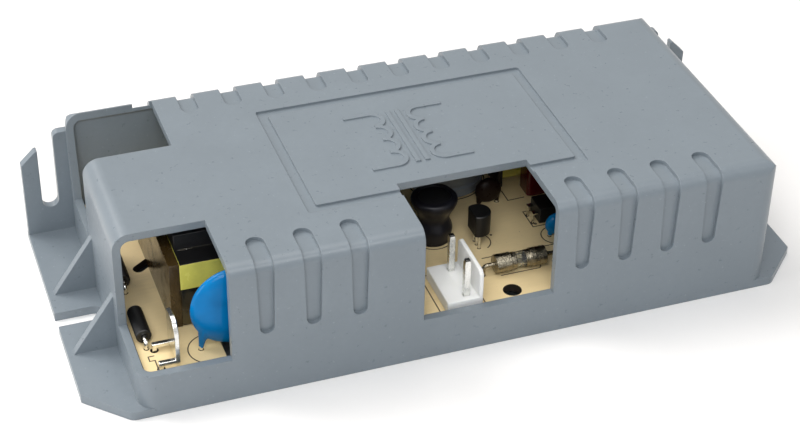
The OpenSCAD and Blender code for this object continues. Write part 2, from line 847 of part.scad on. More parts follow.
module diode_lead_pair(y) {
    root = 0.7;
    color(tin_colour) in_case() for (s = [-1, 1])
        translate([diode_x, y + s*(diode_l/2 - root), diode_z]) rotate([0, 0, s*90])
            bent_lead(diode_run + root, lead_d, diode_z);
}

module hv_diode_front() {
    diode_body(diode_ys[0]);
}

module hv_diode_front_lead() {
    diode_lead_pair(diode_ys[0]);
}

module hv_diode_rear() {
    diode_body(diode_ys[1]);
}

module hv_diode_rear_lead() {
    diode_lead_pair(diode_ys[1]);
}

// Sheet terminal: an upright tab across the case, on two arms that bend down into the board
module spring_terminal(y) {
    foot_l = 3.8;
    foot_w = 0.9;
    lift = 0.8;
    tab_h = 8.5;
    tab_half = 3.1;
    tab_r = 3;
    fall = 16;
    top = [tab_r - tab_half + tab_r*sin(fall), tab_h - tab_r + tab_r*cos(fall)];
    color(tin_colour) in_case() translate([terminal_x, y, 0]) {
        for (s = [-1, 1]) {
            translate([0, s*terminal_half - foot_w/2, board_top + lift])
                cube([foot_l, foot_w, tab_t]);
            translate([0, s*terminal_half - foot_w/2, lead_low])
                cube([tab_t, foot_w, board_top + lift + tab_t - lead_low]);
        }
        translate([foot_l - tab_t, 0, board_top + lift]) rotate([90, 0, 90]) linear_extrude(tab_t) {
            polygon([
                [-tab_half, 0], [tab_half, 0], [tab_half, top[1] - (tab_half - top[0])*tan(fall)],
                top, [-tab_half, tab_h - tab_r]
            ]);
            translate([tab_r - tab_half, tab_h - tab_r]) circle(tab_r);
        }
    }
}

module output_terminal() {
    spring_terminal(terminal_y);
}

module return_terminal() {
    spring_terminal(return_y);
}

module header_base() {
    guard_t = 0.8;
    guard_cut = 0.8;
    hole = header_pin + 2*pin_gap;
    color(white_colour) in_case() difference() {
        translate([header_x, header_y, board_top]) union() {
            cube([header_base_l, header_w, header_h]);
            translate([header_base_l, 0, 0]) rotate([90, 0, 90]) linear_extrude(guard_t) polygon([
                [0, 0], [header_w, 0], [header_w, guard_z - board_top - guard_cut],
                [header_w - guard_cut, guard_z - board_top], [guard_cut, guard_z - board_top],
                [0, guard_z - board_top - guard_cut]
            ]);
        }
        for (p = header_places()) translate([p[0] - hole/2, p[1] - hole/2, board_top - over])
            cube([hole, hole, header_h + 2*over]);
    }
}

module header_pins() {
    pin_rise = 7.8;
    pin_tail = 1;
    color(tin_colour) in_case() for (p = header_places())
        translate([p[0] - header_pin/2, p[1] - header_pin/2, lead_low - pin_tail])
            cube([header_pin, header_pin, board_top + header_h + pin_rise - lead_low + pin_tail]);
}

fuse_cap_l = 4.1;
fuse_end_t = 0.4;
fuse_glass_d = fuse_d - 0.7;

module fuse_glass() {
    inset = fuse_end_t + pin_gap;
    color([0.85, 0.88, 0.88]) in_case() translate([fuse_x + inset, fuse_y, fuse_z])
        rotate([0, 90, 0]) difference() {
            cylinder(d = fuse_glass_d, h = fuse_l - 2*inset);
            translate([0, 0, -over]) cylinder(d = fuse_glass_d - 1, h = fuse_l + 2*over);
        }
}

// End cap with its outer sleeve and bent lead, drawn at the fuse's left end
module fuse_cap() {
    sleeve_l = fuse_cap_l*0.75;
    difference() {
        union() {
            rotate([0, 90, 0]) cylinder(d = fuse_d, h = sleeve_l);
            rotate([0, 90, 0]) cylinder(d = fuse_d - 0.3, h = fuse_cap_l);
        }
        translate([fuse_end_t, 0, 0]) rotate([0, 90, 0])
            cylinder(d = fuse_glass_d + 2*pin_gap, h = fuse_cap_l);
    }
    rotate([0, 0, 180]) bent_lead(fuse_run, lead_d, fuse_z);
}

module fuse_cap_left() {
    color(tin_colour) in_case() translate([fuse_x, fuse_y, fuse_z]) fuse_cap();
}

module fuse_cap_right() {
    color(tin_colour) in_case() translate([fuse_x + fuse_l, fuse_y, fuse_z])
        mirror([1, 0, 0]) fuse_cap();
}

module fuse_wire() {
    color(tin_colour) in_case() translate([fuse_x + fuse_end_t, fuse_y, fuse_z])
        rotate([0, 90, 0]) cylinder(d = 0.25, h = fuse_l - 2*fuse_end_t);
}

regulator_z = board_top + 3.2;

module regulator() {
    body_r = 2.35;
    flat_x = 1.3;
    regulator_h = 4.6;
    color(black_colour) in_case() translate([regulator_x, regulator_y, regulator_z])
        linear_extrude(regulator_h) intersection() {
            circle(body_r);
            translate([-flat_x, -2*body_r]) square([4*body_r, 4*body_r]);
        }
}

module regulator_leads() {
    color(tin_colour) in_case() lead_row(regulator_places(), 0.5, regulator_z);
}

// Drum choke under a shrunk sleeve: parts of its height and radius where the side turns
choke_knots = [[0, 0.76], [0.25, 0.82], [0.52, 0.68], [0.93, 1]];
choke_skin = 0.5;
choke_r = choke_d/2;
choke_post_r = choke_r*0.29;
choke_plate = choke_h*0.104;
choke_core_h = choke_h - 0.8;

// Points of the sleeve's side from its foot to its widest place, with a wavy blend
function choke_side(skin) = [
    for (i = [0:2]) for (t = [0:0.25:i < 2 ? 0.75 : 1])
        let (a = choke_knots[i], b = choke_knots[i + 1], s = (1 - cos(180*t))/2)
            [(a[1] + (b[1] - a[1])*s)*choke_r - skin, (a[0] + (b[0] - a[0])*t)*choke_h]
];

module choke_core() {
    color(ferrite_colour) difference() {
        in_case() translate([choke_x, choke_y, part_z]) {
            cylinder(r = choke_r*0.76 - choke_skin - 0.12, h = choke_plate);
            cylinder(r = choke_post_r, h = choke_core_h);
            translate([0, 0, choke_core_h - choke_plate]) cylinder(r = choke_r*0.78, h = choke_plate);
        }
        in_case() for (p = choke_places()) translate([p[0], p[1], part_z - over])
            cylinder(d = lead_d + 2*pin_gap, h = choke_plate + 2*over);
    }
}

module choke_winding() {
    color(copper_colour) in_case() {
        translate([choke_x, choke_y, part_z + choke_plate]) difference() {
            cylinder(r = choke_r*0.53, h = choke_core_h - 2*choke_plate);
            translate([0, 0, -over]) cylinder(r = choke_post_r, h = choke_core_h);
        }
        lead_row(choke_places(), lead_d, part_z + choke_plate);
    }
}

// Shrunk sleeve that follows the drum's waist and grips over its top edge
module choke_sleeve() {
    lip = 1.3;
    shoulder = (1 - choke_knots[3][0])*choke_h;
    inner = choke_side(choke_skin);
    color(black_colour) in_case() translate([choke_x, choke_y, part_z]) rotate_extrude()
        polygon(concat(
            choke_side(0),
            [for (a = [30, 60, 90])
                [choke_r - shoulder + shoulder*cos(a), choke_h - shoulder + shoulder*sin(a)]],
            [[choke_r - lip, choke_h], [choke_r - lip, choke_h - choke_skin],
                [choke_r - shoulder, choke_h - choke_skin]],
            [for (i = [len(inner) - 1:-1:0]) inner[i]]
        ));
}

// Round can with a rolled groove near its foot and a rounded upper edge
module bulk_capacitor() {
    r = bulk_d/2;
    edge = 1;
    bead = 0.6;
    color([0.24, 0.27, 0.31]) in_case() translate([bulk_x, bulk_y, part_z]) rotate_extrude()
        difference() {
            union() {
                square([r, bulk_h - edge]);
                square([r - edge, bulk_h]);
                translate([r - edge, bulk_h - edge]) circle(edge);
            }
            translate([r + bead*0.4, 2.2]) circle(bead);
            translate([-2*edge, bulk_h - 2*edge]) square([2*edge, 3*edge]);
        }
}

module bulk_capacitor_leads() {
    color(tin_colour) in_case() lead_row(bulk_places(), lead_d, part_z);
}

module film_capacitor() {
    color([0.35, 0.05, 0.07]) in_case() translate([film_x, film_y, part_z])
        linear_extrude(film_h) rounded_rect(film_l, film_w, 0.8);
}

module film_capacitor_leads() {
    color(tin_colour) in_case() lead_row(film_places(), lead_d, part_z);
}

opto_lead_z = part_z + 1.9;

module optocoupler() {
    color(black_colour) in_case() translate([opto_x - opto_l/2, opto_y - opto_w/2, part_z])
        cube([opto_l, opto_w, opto_h]);
}

module optocoupler_leads() {
    leaf_t = 0.3;
    shoulder_w = 1;
    color(tin_colour) in_case() for (p = opto_places()) {
        s = sign(p[0] - opto_x);
        translate([p[0], p[1], 0]) {
            translate([-leaf_t/2, -0.25, lead_low]) cube([leaf_t, 0.5, opto_lead_z + leaf_t - lead_low]);
            translate([-leaf_t/2, -shoulder_w/2, opto_lead_z - shoulder_w])
                cube([leaf_t, shoulder_w, shoulder_w + leaf_t]);
            translate([s > 0 ? -3.81 + opto_l/2 : 0, -shoulder_w/2, opto_lead_z])
                cube([3.81 - opto_l/2, shoulder_w, leaf_t]);
        }
    }
}

module small_capacitor() {
    color(blue_colour) in_case() translate([small_x, small_y, board_top])
        disc_body(small_d, small_t, small_spread);
}

module small_capacitor_leads() {
    color(tin_colour) in_case() lead_row(small_places(), 0.6, part_z + 0.6);
}

module thermistor() {
    color([0.30, 0.16, 0.10]) in_case() translate([thermistor_x, thermistor_y, board_top])
        disc_body(thermistor_d, thermistor_t, thermistor_spread);
}

module thermistor_leads() {
    color(tin_colour) in_case() lead_row(thermistor_places(), lead_d, part_z + 0.6);
}

// Lying line coil: a former with two square flanges, a rod core and a taped winding
line_l = 12;
line_side = 11.6;
line_flange_t = 1.1;
line_rod_d = 4.4;
line_axis_z = board_top + line_side/2;

module at_line_coil() {
    in_case() translate([line_x - line_l/2, line_y, line_axis_z]) rotate([90, 0, 90]) children();
}

module line_coil_former() {
    color(black_colour) difference() {
        at_line_coil() difference() {
            union() {
                for (z = [0, line_l - line_flange_t]) translate([0, 0, z])
                    linear_extrude(line_flange_t) square(line_side, center = true);
                cylinder(d = line_rod_d + 2, h = line_l);
            }
            translate([0, 0, -over]) cylinder(d = line_rod_d + 2*pin_gap, h = line_l + 2*over);
        }
        in_case() for (p = line_places()) translate([p[0], p[1], board_top - over])
            cylinder(d = 0.6 + 2*pin_gap, h = 2 + over);
    }
}

module line_coil_core() {
    color(ferrite_colour) at_line_coil() translate([0, 0, -0.2])
        cylinder(d = line_rod_d, h = line_l + 0.4);
}

module line_coil_winding() {
    side = line_side - 0.6;
    color(tape_colour) at_line_coil() translate([0, 0, line_flange_t])
        linear_extrude(line_l - 2*line_flange_t) difference() {
            translate([-side/2, -side/2]) rounded_rect(side, side, 3);
            circle(d = line_rod_d + 2);
        }
}

module line_coil_pins() {
    color(tin_colour) in_case() lead_row(line_places(), 0.6, board_top + 2);
}

rectifier_l = 8.4;
rectifier_w = 6.2;
rectifier_h = 3.2;

module rectifier() {
    notch = 1.2;
    color(black_colour) in_case() translate([rectifier_x, rectifier_y, part_z])
        linear_extrude(rectifier_h) difference() {
            square([rectifier_l, rectifier_w], center = true);
            translate([-rectifier_l/2, rectifier_w/2]) circle(notch);
        }
}

module rectifier_leads() {
    leaf_t = 0.3;
    leaf_z = part_z + 1.4;
    reach = 3.81 - rectifier_w/2;
    color(tin_colour) in_case() for (p = rectifier_places()) {
        s = sign(p[1] - rectifier_y);
        translate([p[0], p[1], 0]) {
            translate([-0.25, -leaf_t/2, lead_low]) cube([0.5, leaf_t, leaf_z + leaf_t - lead_low]);
            translate([-0.5, s > 0 ? -reach : 0, leaf_z]) cube([1, reach, leaf_t]);
        }
    }
}

// Puts what is drawn along +X, with its face to -Y, on the face of the heat sink
module on_sink(y, z) {
    in_case() translate([sink_x, y, z]) rotate([0, 0, -90]) children();
}

// Extruded sink: a flat plate with a row of short fins on its rear
module heat_sink() {
    color([0.66, 0.68, 0.70]) difference() {
        in_case() union() {
            translate([sink_x, sink_y, part_z]) linear_extrude(sink_h) {
                square([sink_t, sink_l]);
                for (i = [0:fins - 1]) translate([sink_t/2, i*(sink_l - fin_t)/(fins - 1)])
                    square([fin_reach + sink_t/2, fin_t]);
            }
            for (p = sink_places()) translate([p[0], p[1], lead_low])
                cylinder(d = terminal_foot_d - 0.1, h = part_z - lead_low);
        }
        for (y = switch_ys) on_sink(y, switch_hole_z) translate([0, -over, 0]) rotate([-90, 0, 0])
            cylinder(d = screw_d + 2*pin_gap, h = sink_t + fin_reach + 2*over);
    }
}

module power_switch(y) {
    color(black_colour) on_sink(y, 0) difference() {
        translate([-switch_w/2, -switch_t, switch_z]) cube([switch_w, switch_t, switch_h]);
        translate([0, over, switch_hole_z]) rotate([90, 0, 0])
            cylinder(d = screw_d + 0.3, h = switch_t + 2*over);
    }
}

module power_switch_left() {
    power_switch(switch_ys[1]);
}

module power_switch_right() {
    power_switch(switch_ys[0]);
}

module switch_leads() {
    color(tin_colour) in_case() lead_row(switch_places(), lead_d, switch_z);
}

module switch_screws() {
    slot_t = 0.8;
    color(tin_colour) for (y = switch_ys) on_sink(y, switch_hole_z) translate([0, -switch_t, 0])
        rotate([-90, 0, 0]) {
            cylinder(d = screw_d, h = switch_t + sink_t);
            translate([0, 0, -switch_head_h]) difference() {
                cylinder(d = switch_head_d, h = switch_head_h);
                translate([-switch_head_d/2 - over, -slot_t/2, -over])
                    cube([switch_head_d + 2*over, slot_t, over + slot_t]);
            }
        }
}

module resistors() {
    end_l = 1.3;
    color([0.76, 0.68, 0.52]) in_case() for (p = resistor_centres)
        translate([p[0] - resistor_l/2, p[1], resistor_z]) rotate([0, 90, 0]) difference() {
            union() {
                cylinder(d = resistor_d - 0.4, h = resistor_l);
                for (z = [0, resistor_l - end_l]) translate([0, 0, z])
                    cylinder(d = resistor_d, h = end_l);
            }
            for (z = [-over, resistor_l - 0.7]) translate([0, 0, z])
                cylinder(d = 0.6 + 2*pin_gap, h = 0.7 + over);
        }
}

module resistor_leads() {
    root = 0.6;
    color(tin_colour) in_case() for (p = resistor_centres, s = [-1, 1])
        translate([p[0] + s*(resistor_l/2 - root), p[1], resistor_z])
            rotate([0, 0, s > 0 ? 0 : 180]) bent_lead(resistor_run + root, 0.6, resistor_z);
}

housing_shell();
base_cover();
case_screws();
circuit_board();
core_upper();
core_lower();
winding_former();
primary_winding();
secondary_winding();
primary_tape();
secondary_wrap();
barrier_plate();
former_pins();
hv_capacitor();
hv_capacitor_leads();
hv_diode_front();
hv_diode_front_lead();
hv_diode_rear();
hv_diode_rear_lead();
output_terminal();
return_terminal();
header_base();
header_pins();
fuse_glass();
fuse_cap_left();
fuse_cap_right();
fuse_wire();
regulator();
regulator_leads();
choke_core();
choke_winding();
choke_sleeve();
bulk_capacitor();
bulk_capacitor_leads();
film_capacitor();
film_capacitor_leads();
optocoupler();
optocoupler_leads();
small_capacitor();
small_capacitor_leads();
line_coil_former();
line_coil_core();
line_coil_winding();
line_coil_pins();
thermistor();
thermistor_leads();
rectifier();
rectifier_leads();
heat_sink();
power_switch_left();
power_switch_right();
switch_leads();
switch_screws();
resistors();
resistor_leads();
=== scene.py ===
"""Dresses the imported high-voltage transformer module and stages it for one picture."""

import logging
import math
from abc import ABC, abstractmethod
from dataclasses import dataclass, field
from enum import Enum
from typing import Iterable, Sequence

import bmesh
import bpy
from mathutils import Matrix, Vector, noise


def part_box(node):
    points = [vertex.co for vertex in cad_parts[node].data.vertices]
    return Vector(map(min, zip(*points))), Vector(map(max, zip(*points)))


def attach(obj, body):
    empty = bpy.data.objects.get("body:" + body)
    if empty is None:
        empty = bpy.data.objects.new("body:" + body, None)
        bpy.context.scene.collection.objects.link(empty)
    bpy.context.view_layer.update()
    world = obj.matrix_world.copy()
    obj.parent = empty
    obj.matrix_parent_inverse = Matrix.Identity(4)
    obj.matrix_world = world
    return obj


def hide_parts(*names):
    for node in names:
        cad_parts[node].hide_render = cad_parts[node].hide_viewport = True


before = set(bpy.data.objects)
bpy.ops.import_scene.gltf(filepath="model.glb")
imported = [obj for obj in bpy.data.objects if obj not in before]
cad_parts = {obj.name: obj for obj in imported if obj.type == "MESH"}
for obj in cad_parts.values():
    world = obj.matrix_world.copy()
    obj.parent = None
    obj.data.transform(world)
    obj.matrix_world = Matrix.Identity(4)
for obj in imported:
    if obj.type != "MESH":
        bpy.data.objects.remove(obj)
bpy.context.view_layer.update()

LOG = logging.getLogger("transformer_module")
BODY = "root"
MM = 0.001
# Length of the case without its flanges, as in the part's source
CASE_LENGTH_MM = 121.0
# Edges of the new pieces that bend more than this stay sharp
SHARP_DEG = 40.0

Colour = tuple[float, float, float]
Place = tuple[float, float, float]
Point = tuple[float, float]
Socket = bpy.types.NodeSocket
Mesh = bmesh.types.BMesh
Piece = bpy.types.Object


def paint(red: int, green: int, blue: int) -> Colour:
    """Turns a display colour from 0 to 255 into the linear colour that shaders take."""
    shares = [value / 255 for value in (red, green, blue)]
    return tuple(share / 12.92 if share <= 0.04045 else ((share + 0.055) / 1.055) ** 2.4
                 for share in shares)


# Finishes

class Nodes:
    """Adds and joins the nodes of one tree."""

    def __init__(self, tree: bpy.types.NodeTree) -> None:
        """Takes the tree that is built on."""
        self.tree = tree

    def add(self, kind: str, **settings: object) -> bpy.types.Node:
        """Adds a node.

        Args:
            kind: The node's Blender type.
            settings: Values of the node's properties.

        Returns:
            The new node.
        """
        node = self.tree.nodes.new(kind)
        for key, value in settings.items():
            setattr(node, key, value)
        return node

    def join(self, source: Socket, target: Socket) -> None:
        """Links an output to an input."""
        self.tree.links.new(source, target)

    def maths(self, operation: str, *values: Socket | float) -> Socket:
        """Works out a value with one math node.

        Args:
            operation: What the node does.
            values: Its inputs in order, each a socket or a number.

        Returns:
            The result.
        """
        node = self.add("ShaderNodeMath", operation=operation)
        for port, value in zip(node.inputs, values):
            if isinstance(value, Socket):
                self.join(value, port)
            else:
                port.default_value = value
        return node.outputs[0]


class Recipe(Nodes):
    """Lays out one material's nodes with short calls."""

    def __init__(self, name: str) -> None:
        """Starts an empty recipe for a material of this name."""
        self.material = bpy.data.materials.new(name)
        self.material.use_nodes = True
        super().__init__(self.material.node_tree)
        self.shader = self.tree.nodes["Principled BSDF"]
        self.place: Socket = self.add("ShaderNodeTexCoord").outputs["Object"]

    def fix(self, **values: object) -> None:
        """Sets values that are the same all over the surface, named with _ for a space."""
        for key, value in values.items():
            self.shader.inputs[key.replace("_", " ")].default_value = value

    def grain(self, size_mm: float, detail: float = 2.0, stretch: Place = (1, 1, 1)) -> Socket:
        """Gives soft noise from 0 to 1.

        Args:
            size_mm: The width of one spot of the noise.
            detail: How many finer layers it has.
            stretch: A factor on each axis, for streaks.

        Returns:
            The noise's value.
        """
        stretched = self.add("ShaderNodeMapping")
        stretched.inputs["Scale"].default_value = stretch
        self.join(self.place, stretched.inputs["Vector"])
        node = self.add("ShaderNodeTexNoise")
        node.inputs["Scale"].default_value = 1 / (size_mm * MM)
        node.inputs["Detail"].default_value = detail
        node.inputs["Roughness"].default_value = 0.55
        self.join(stretched.outputs["Vector"], node.inputs["Vector"])
        return node.outputs["Fac"]

    def shades(self, factor: Socket, colour: Colour, *stops: Point) -> Socket:
        """Maps a value to darker and lighter shades of one colour.

        Args:
            factor: The value from 0 to 1.
            colour: The colour that is shaded.
            stops: Values, each with the factor on the colour there.

        Returns:
            The shade.
        """
        node = self.add("ShaderNodeValToRGB")
        ramp = node.color_ramp
        while len(ramp.elements) < len(stops):
            ramp.elements.new(0.5)
        for element, (value, by) in zip(ramp.elements, stops):
            element.position = value
            element.color = (*(min(1.0, part * by) for part in colour), 1.0)
        self.join(factor, node.inputs["Fac"])
        return node.outputs["Color"]

    def spread(self, factor: Socket, low: float, high: float, near: float = 0.3,
               far: float = 0.7) -> Socket:
        """Maps a value between near and far to one between low and high."""
        node = self.add("ShaderNodeMapRange")
        for key, value in (("From Min", near), ("From Max", far), ("To Min", low), ("To Max", high)):
            node.inputs[key].default_value = value
        self.join(factor, node.inputs["Value"])
        return node.outputs["Result"]

    def sum(self, first: Socket, second: Socket, share: float) -> Socket:
        """Adds a share of the second value to the first."""
        return self.maths("MULTIPLY_ADD", second, share, first)

    def over(self, base: Socket, top: Socket, value: Socket, near: float, far: float,
             cover: float = 1.0) -> Socket:
        """Lays one colour over another as a value goes from near to far."""
        node = self.add("ShaderNodeMix", data_type="RGBA")
        self.join(self.spread(value, 0, cover, near, far), node.inputs["Factor"])
        self.join(base, node.inputs[6])
        self.join(top, node.inputs[7])
        return node.outputs[2]

    def along(self, axis: str) -> Socket:
        """Gives the place along one axis, in metres."""
        node = self.add("ShaderNodeSeparateXYZ")
        self.join(self.place, node.inputs["Vector"])
        return node.outputs[axis]

    def facing_up(self) -> Socket:
        """Gives how level the surface is, from 0 on a wall to 1 on a floor."""
        parts = self.add("ShaderNodeSeparateXYZ")
        self.join(self.add("ShaderNodeNewGeometry").outputs["True Normal"], parts.inputs["Vector"])
        return self.maths("ABSOLUTE", parts.outputs["Z"])

    def colour_from(self, colour: Socket) -> None:
        """Sends a colour to the shader."""
        self.join(colour, self.shader.inputs["Base Color"])

    def roughness_from(self, factor: Socket, low: float, high: float) -> None:
        """Sends a roughness between low and high to the shader."""
        self.join(self.spread(factor, low, high), self.shader.inputs["Roughness"])

    def relief(self, *layers: tuple[Socket, float], edge_mm: float = 0.0) -> None:
        """Stacks bumps on the surface.

        Args:
            layers: Each bump's height value and its depth in millimetres.
            edge_mm: How far sharp edges look rounded.
        """
        last: Socket | None = None
        if edge_mm:
            rounding = self.add("ShaderNodeBevel", samples=6)
            rounding.inputs["Radius"].default_value = edge_mm * MM
            last = rounding.outputs["Normal"]
        for height, depth_mm in layers:
            node = self.add("ShaderNodeBump")
            node.inputs["Strength"].default_value = 1.0
            node.inputs["Distance"].default_value = depth_mm * MM
            self.join(height, node.inputs["Height"])
            if last is not None:
                self.join(last, node.inputs["Normal"])
            last = node.outputs["Normal"]
        self.join(last, self.shader.inputs["Normal"])


@dataclass(frozen=True)
class Finish(ABC):
    """One surface finish, made into a material when it is first used.

    Attributes:
        name: The finish's and its material's name.
        colour: Its main colour, linear.
    """

    name: str
    colour: Colour

    @abstractmethod
    def lay_out(self, recipe: Recipe) -> None:
        """Lays out the finish's nodes."""

    def material(self) -> bpy.types.Material:
        """Gives the finish's material, made once."""
        made = bpy.data.materials.get(self.name)
        if made is None:
            recipe = Recipe(self.name)
            self.lay_out(recipe)
            made = recipe.material
        return made


@dataclass(frozen=True)
class MouldedPlastic(Finish):
    """Injection-moulded plastic with soft mottling, fine grain and a few pale specks.

    Attributes:
        roughness: How dull it is.
        mottling: How far its shade wanders.
        grain_mm, grain_depth_mm: Its fine grain.
        speck_gain: The factor on its colour in the specks.
        soft_light: How much light spreads inside it.
        edge_mm: How far its sharp edges look rounded.
    """

    roughness: float
    mottling: float = 0.05
    grain_mm: float = 0.5
    grain_depth_mm: float = 0.006
    speck_gain: float = 1.18
    soft_light: float = 0.0
    edge_mm: float = 0.0

    def lay_out(self, recipe: Recipe) -> None:
        """Lays out the plastic's nodes."""
        wide = recipe.grain(14, 3)
        fine = recipe.grain(1.1, 4)
        mixed = recipe.spread(recipe.sum(wide, fine, 0.6), 0, 1, 0.5, 1.1)
        tone = recipe.shades(mixed, self.colour, (0, 1 - self.mottling), (0.55, 1),
                             (1, 1 + self.mottling))
        speck = recipe.grain(0.55, 1)
        pale = recipe.shades(speck, self.colour, (0, self.speck_gain), (1, self.speck_gain * 1.05))
        recipe.colour_from(recipe.over(tone, pale, speck, 0.735, 0.78))
        recipe.roughness_from(fine, self.roughness - 0.05, self.roughness + 0.06)
        recipe.relief((recipe.grain(9), self.grain_depth_mm * 3),
                      (recipe.grain(self.grain_mm, 3), self.grain_depth_mm), edge_mm=self.edge_mm)
        if self.soft_light:
            recipe.fix(Subsurface_Weight=self.soft_light, Subsurface_Scale=1.0,
                       Subsurface_Radius=(0.002, 0.002, 0.0018))


@dataclass(frozen=True)
class MetalPlate(Finish):
    """Plated or bare sheet metal with drawn streaks, dull spots and small dents.

    Attributes:
        roughness: How dull it is.
        streak: A factor on each axis for its streaks.
        dent_mm, dent_depth_mm: Its dents.
        stain: The factor on its colour in the spots.
        dark_above_mm: The height above which it turns nearly black, or 0.
    """

    roughness: float
    streak: Place = (1, 1, 14)
    dent_mm: float = 1.2
    dent_depth_mm: float = 0.01
    stain: float = 0.72
    dark_above_mm: float = 0.0

    def lay_out(self, recipe: Recipe) -> None:
        """Lays out the metal's nodes."""
        streaks = recipe.grain(1.6, 3, self.streak)
        spots = recipe.grain(0.9, 3)
        tone = recipe.shades(recipe.sum(streaks, spots, 0.5), self.colour,
                             (0.45, self.stain), (0.72, 1), (0.95, 1.08))
        # Above that height the metal is nearly black.
        if self.dark_above_mm:
            cut = recipe.shades(spots, self.colour, (0.3, 0.05), (0.7, 0.16))
            edge = self.dark_above_mm * MM
            tone = recipe.over(tone, cut, recipe.along("Z"), edge, edge + 0.1 * MM)
        recipe.colour_from(tone)
        recipe.fix(Metallic=1.0)
        recipe.roughness_from(spots, self.roughness * 0.7, self.roughness * 1.6)
        recipe.relief((recipe.grain(self.dent_mm), self.dent_depth_mm),
                      (streaks, self.dent_depth_mm * 0.3))


@dataclass(frozen=True)
class BoardLaminate(Finish):
    """Tan paper laminate with fibres, warm patches, fine dark flecks and dark cut edges."""

    edge: Colour = paint(52, 46, 40)

    def lay_out(self, recipe: Recipe) -> None:
        """Lays out the laminate's nodes."""
        fibre = recipe.grain(1.2, 4, (0.25, 2.2, 1))
        patch = recipe.spread(recipe.grain(11, 3), 0, 0.6)
        tone = recipe.shades(recipe.sum(patch, fibre, 0.5), self.colour,
                             (0.15, 0.86), (0.45, 1), (0.9, 1.1))
        fleck = recipe.grain(0.42, 1)
        dark = recipe.shades(fleck, self.colour, (0, 0.5), (1, 0.4))
        face = recipe.over(tone, dark, fleck, 0.755, 0.8, cover=0.8)
        cut = recipe.shades(fibre, self.edge, (0.2, 0.7), (0.8, 1))
        recipe.colour_from(recipe.over(cut, face, recipe.facing_up(), 0.4, 0.6))
        recipe.roughness_from(fibre, 0.36, 0.5)
        recipe.relief((fibre, 0.01), (recipe.grain(6), 0.02))


@dataclass(frozen=True)
class Ink(Finish):
    """Screen-printed ink, thin and slightly broken."""

    def lay_out(self, recipe: Recipe) -> None:
        """Lays out the ink's nodes."""
        grain = recipe.grain(0.12)
        recipe.colour_from(recipe.shades(grain, self.colour, (0.3, 1), (0.75, 3.2)))
        recipe.roughness_from(grain, 0.4, 0.65)
        recipe.relief((grain, 0.004))


@dataclass(frozen=True)
class TapeFilm(Finish):
    """Glossy wound tape with overlap lines, faint wrinkles and a colour that changes with height, which
    paints shade.

    Attributes:
        low_colour: Its colour low down. The darker of it and the main colour is painted shade.
        low_mm, high_mm: The heights between which it turns into its main colour.
    """

    low_colour: Colour
    low_mm: float
    high_mm: float

    def lay_out(self, recipe: Recipe) -> None:
        """Lays out the tape's nodes."""
        blotch = recipe.grain(3.2, 3)
        patchy = recipe.spread(blotch, 0, 1)
        # Two colours that blend by height: the darker one is painted shade, not a colour of the tape.
        upper = recipe.shades(patchy, self.colour, (0, 0.9), (1, 1.08))
        lower = recipe.shades(patchy, self.low_colour, (0, 0.8), (1, 1.2))
        recipe.colour_from(recipe.over(lower, upper, recipe.along("Z"), self.low_mm * MM,
                                       self.high_mm * MM))
        recipe.roughness_from(blotch, 0.16, 0.3)
        recipe.relief((recipe.grain(2.4, 2, (1, 1, 0.3)), 0.03), (recipe.grain(0.6), 0.004))
        recipe.fix(Coat_Weight=0.3, Coat_Roughness=0.12)


@dataclass(frozen=True)
class ClearSheet(Finish):
    """Clear tinted sheet or glass with faint waves, so that what is behind it shows.

    Attributes:
        roughness: How dull it is.
        clear: How much light passes through it.
        bend: Its index of refraction.
        wave_depth_mm: The depth of its waves.
        smudge: The factor on its colour in the smudges.
    """

    roughness: float
    clear: float = 0.95
    bend: float = 1.45
    wave_depth_mm: float = 0.01
    smudge: float = 0.9

    def lay_out(self, recipe: Recipe) -> None:
        """Lays out the sheet's nodes."""
        haze = recipe.grain(4, 3)
        recipe.colour_from(recipe.shades(recipe.spread(haze, 0, 1), self.colour,
                                         (0, self.smudge), (0.35, 0.95), (1, 1.06)))
        recipe.roughness_from(haze, self.roughness * 0.6, self.roughness * 1.5)
        recipe.relief((haze, self.wave_depth_mm), (recipe.grain(0.5), self.wave_depth_mm * 0.2))
        recipe.fix(Transmission_Weight=self.clear, IOR=self.bend)


@dataclass(frozen=True)
class Sinter(Finish):
    """Dark ferrite, dull and slightly pitted, with ground streaks."""

    def lay_out(self, recipe: Recipe) -> None:
        """Lays out the ferrite's nodes."""
        grit = recipe.grain(0.35, 4)
        ground = recipe.grain(0.8, 3, (0.3, 2.5, 1))
        recipe.colour_from(recipe.shades(recipe.sum(grit, ground, 0.5), self.colour,
                                         (0.4, 0.6), (0.75, 1), (1, 2.2)))
        recipe.roughness_from(grit, 0.35, 0.6)
        recipe.relief((grit, 0.02), (ground, 0.01))


@dataclass(frozen=True)
class WoundWire(Finish):
    """Enamelled wire, laid in close turns one above the other, with painted shade between the turns and
    a painted highlight on each turn's crest.

    Attributes:
        turn_mm: The height of one turn.
        period: The length of one wave of the wave texture at scale 1.
    """

    turn_mm: float = 0.25
    period: float = 0.31

    def lay_out(self, recipe: Recipe) -> None:
        """Lays out the wire's nodes."""
        turns = recipe.add("ShaderNodeTexWave", wave_type="BANDS", bands_direction="Z")
        turns.inputs["Scale"].default_value = self.period / (self.turn_mm * MM)
        turns.inputs["Distortion"].default_value = 0.6
        recipe.join(recipe.place, turns.inputs["Vector"])
        # Each turn's colour runs from painted shade in the groove to a painted highlight on the crest.
        recipe.colour_from(recipe.shades(turns.outputs["Fac"], self.colour,
                                         (0, 0.3), (0.5, 1), (1, 1.3)))
        recipe.fix(Metallic=0.85, Coat_Weight=0.5)
        recipe.roughness_from(recipe.grain(1.5), 0.2, 0.36)
        recipe.relief((turns.outputs["Fac"], self.turn_mm * 0.4))


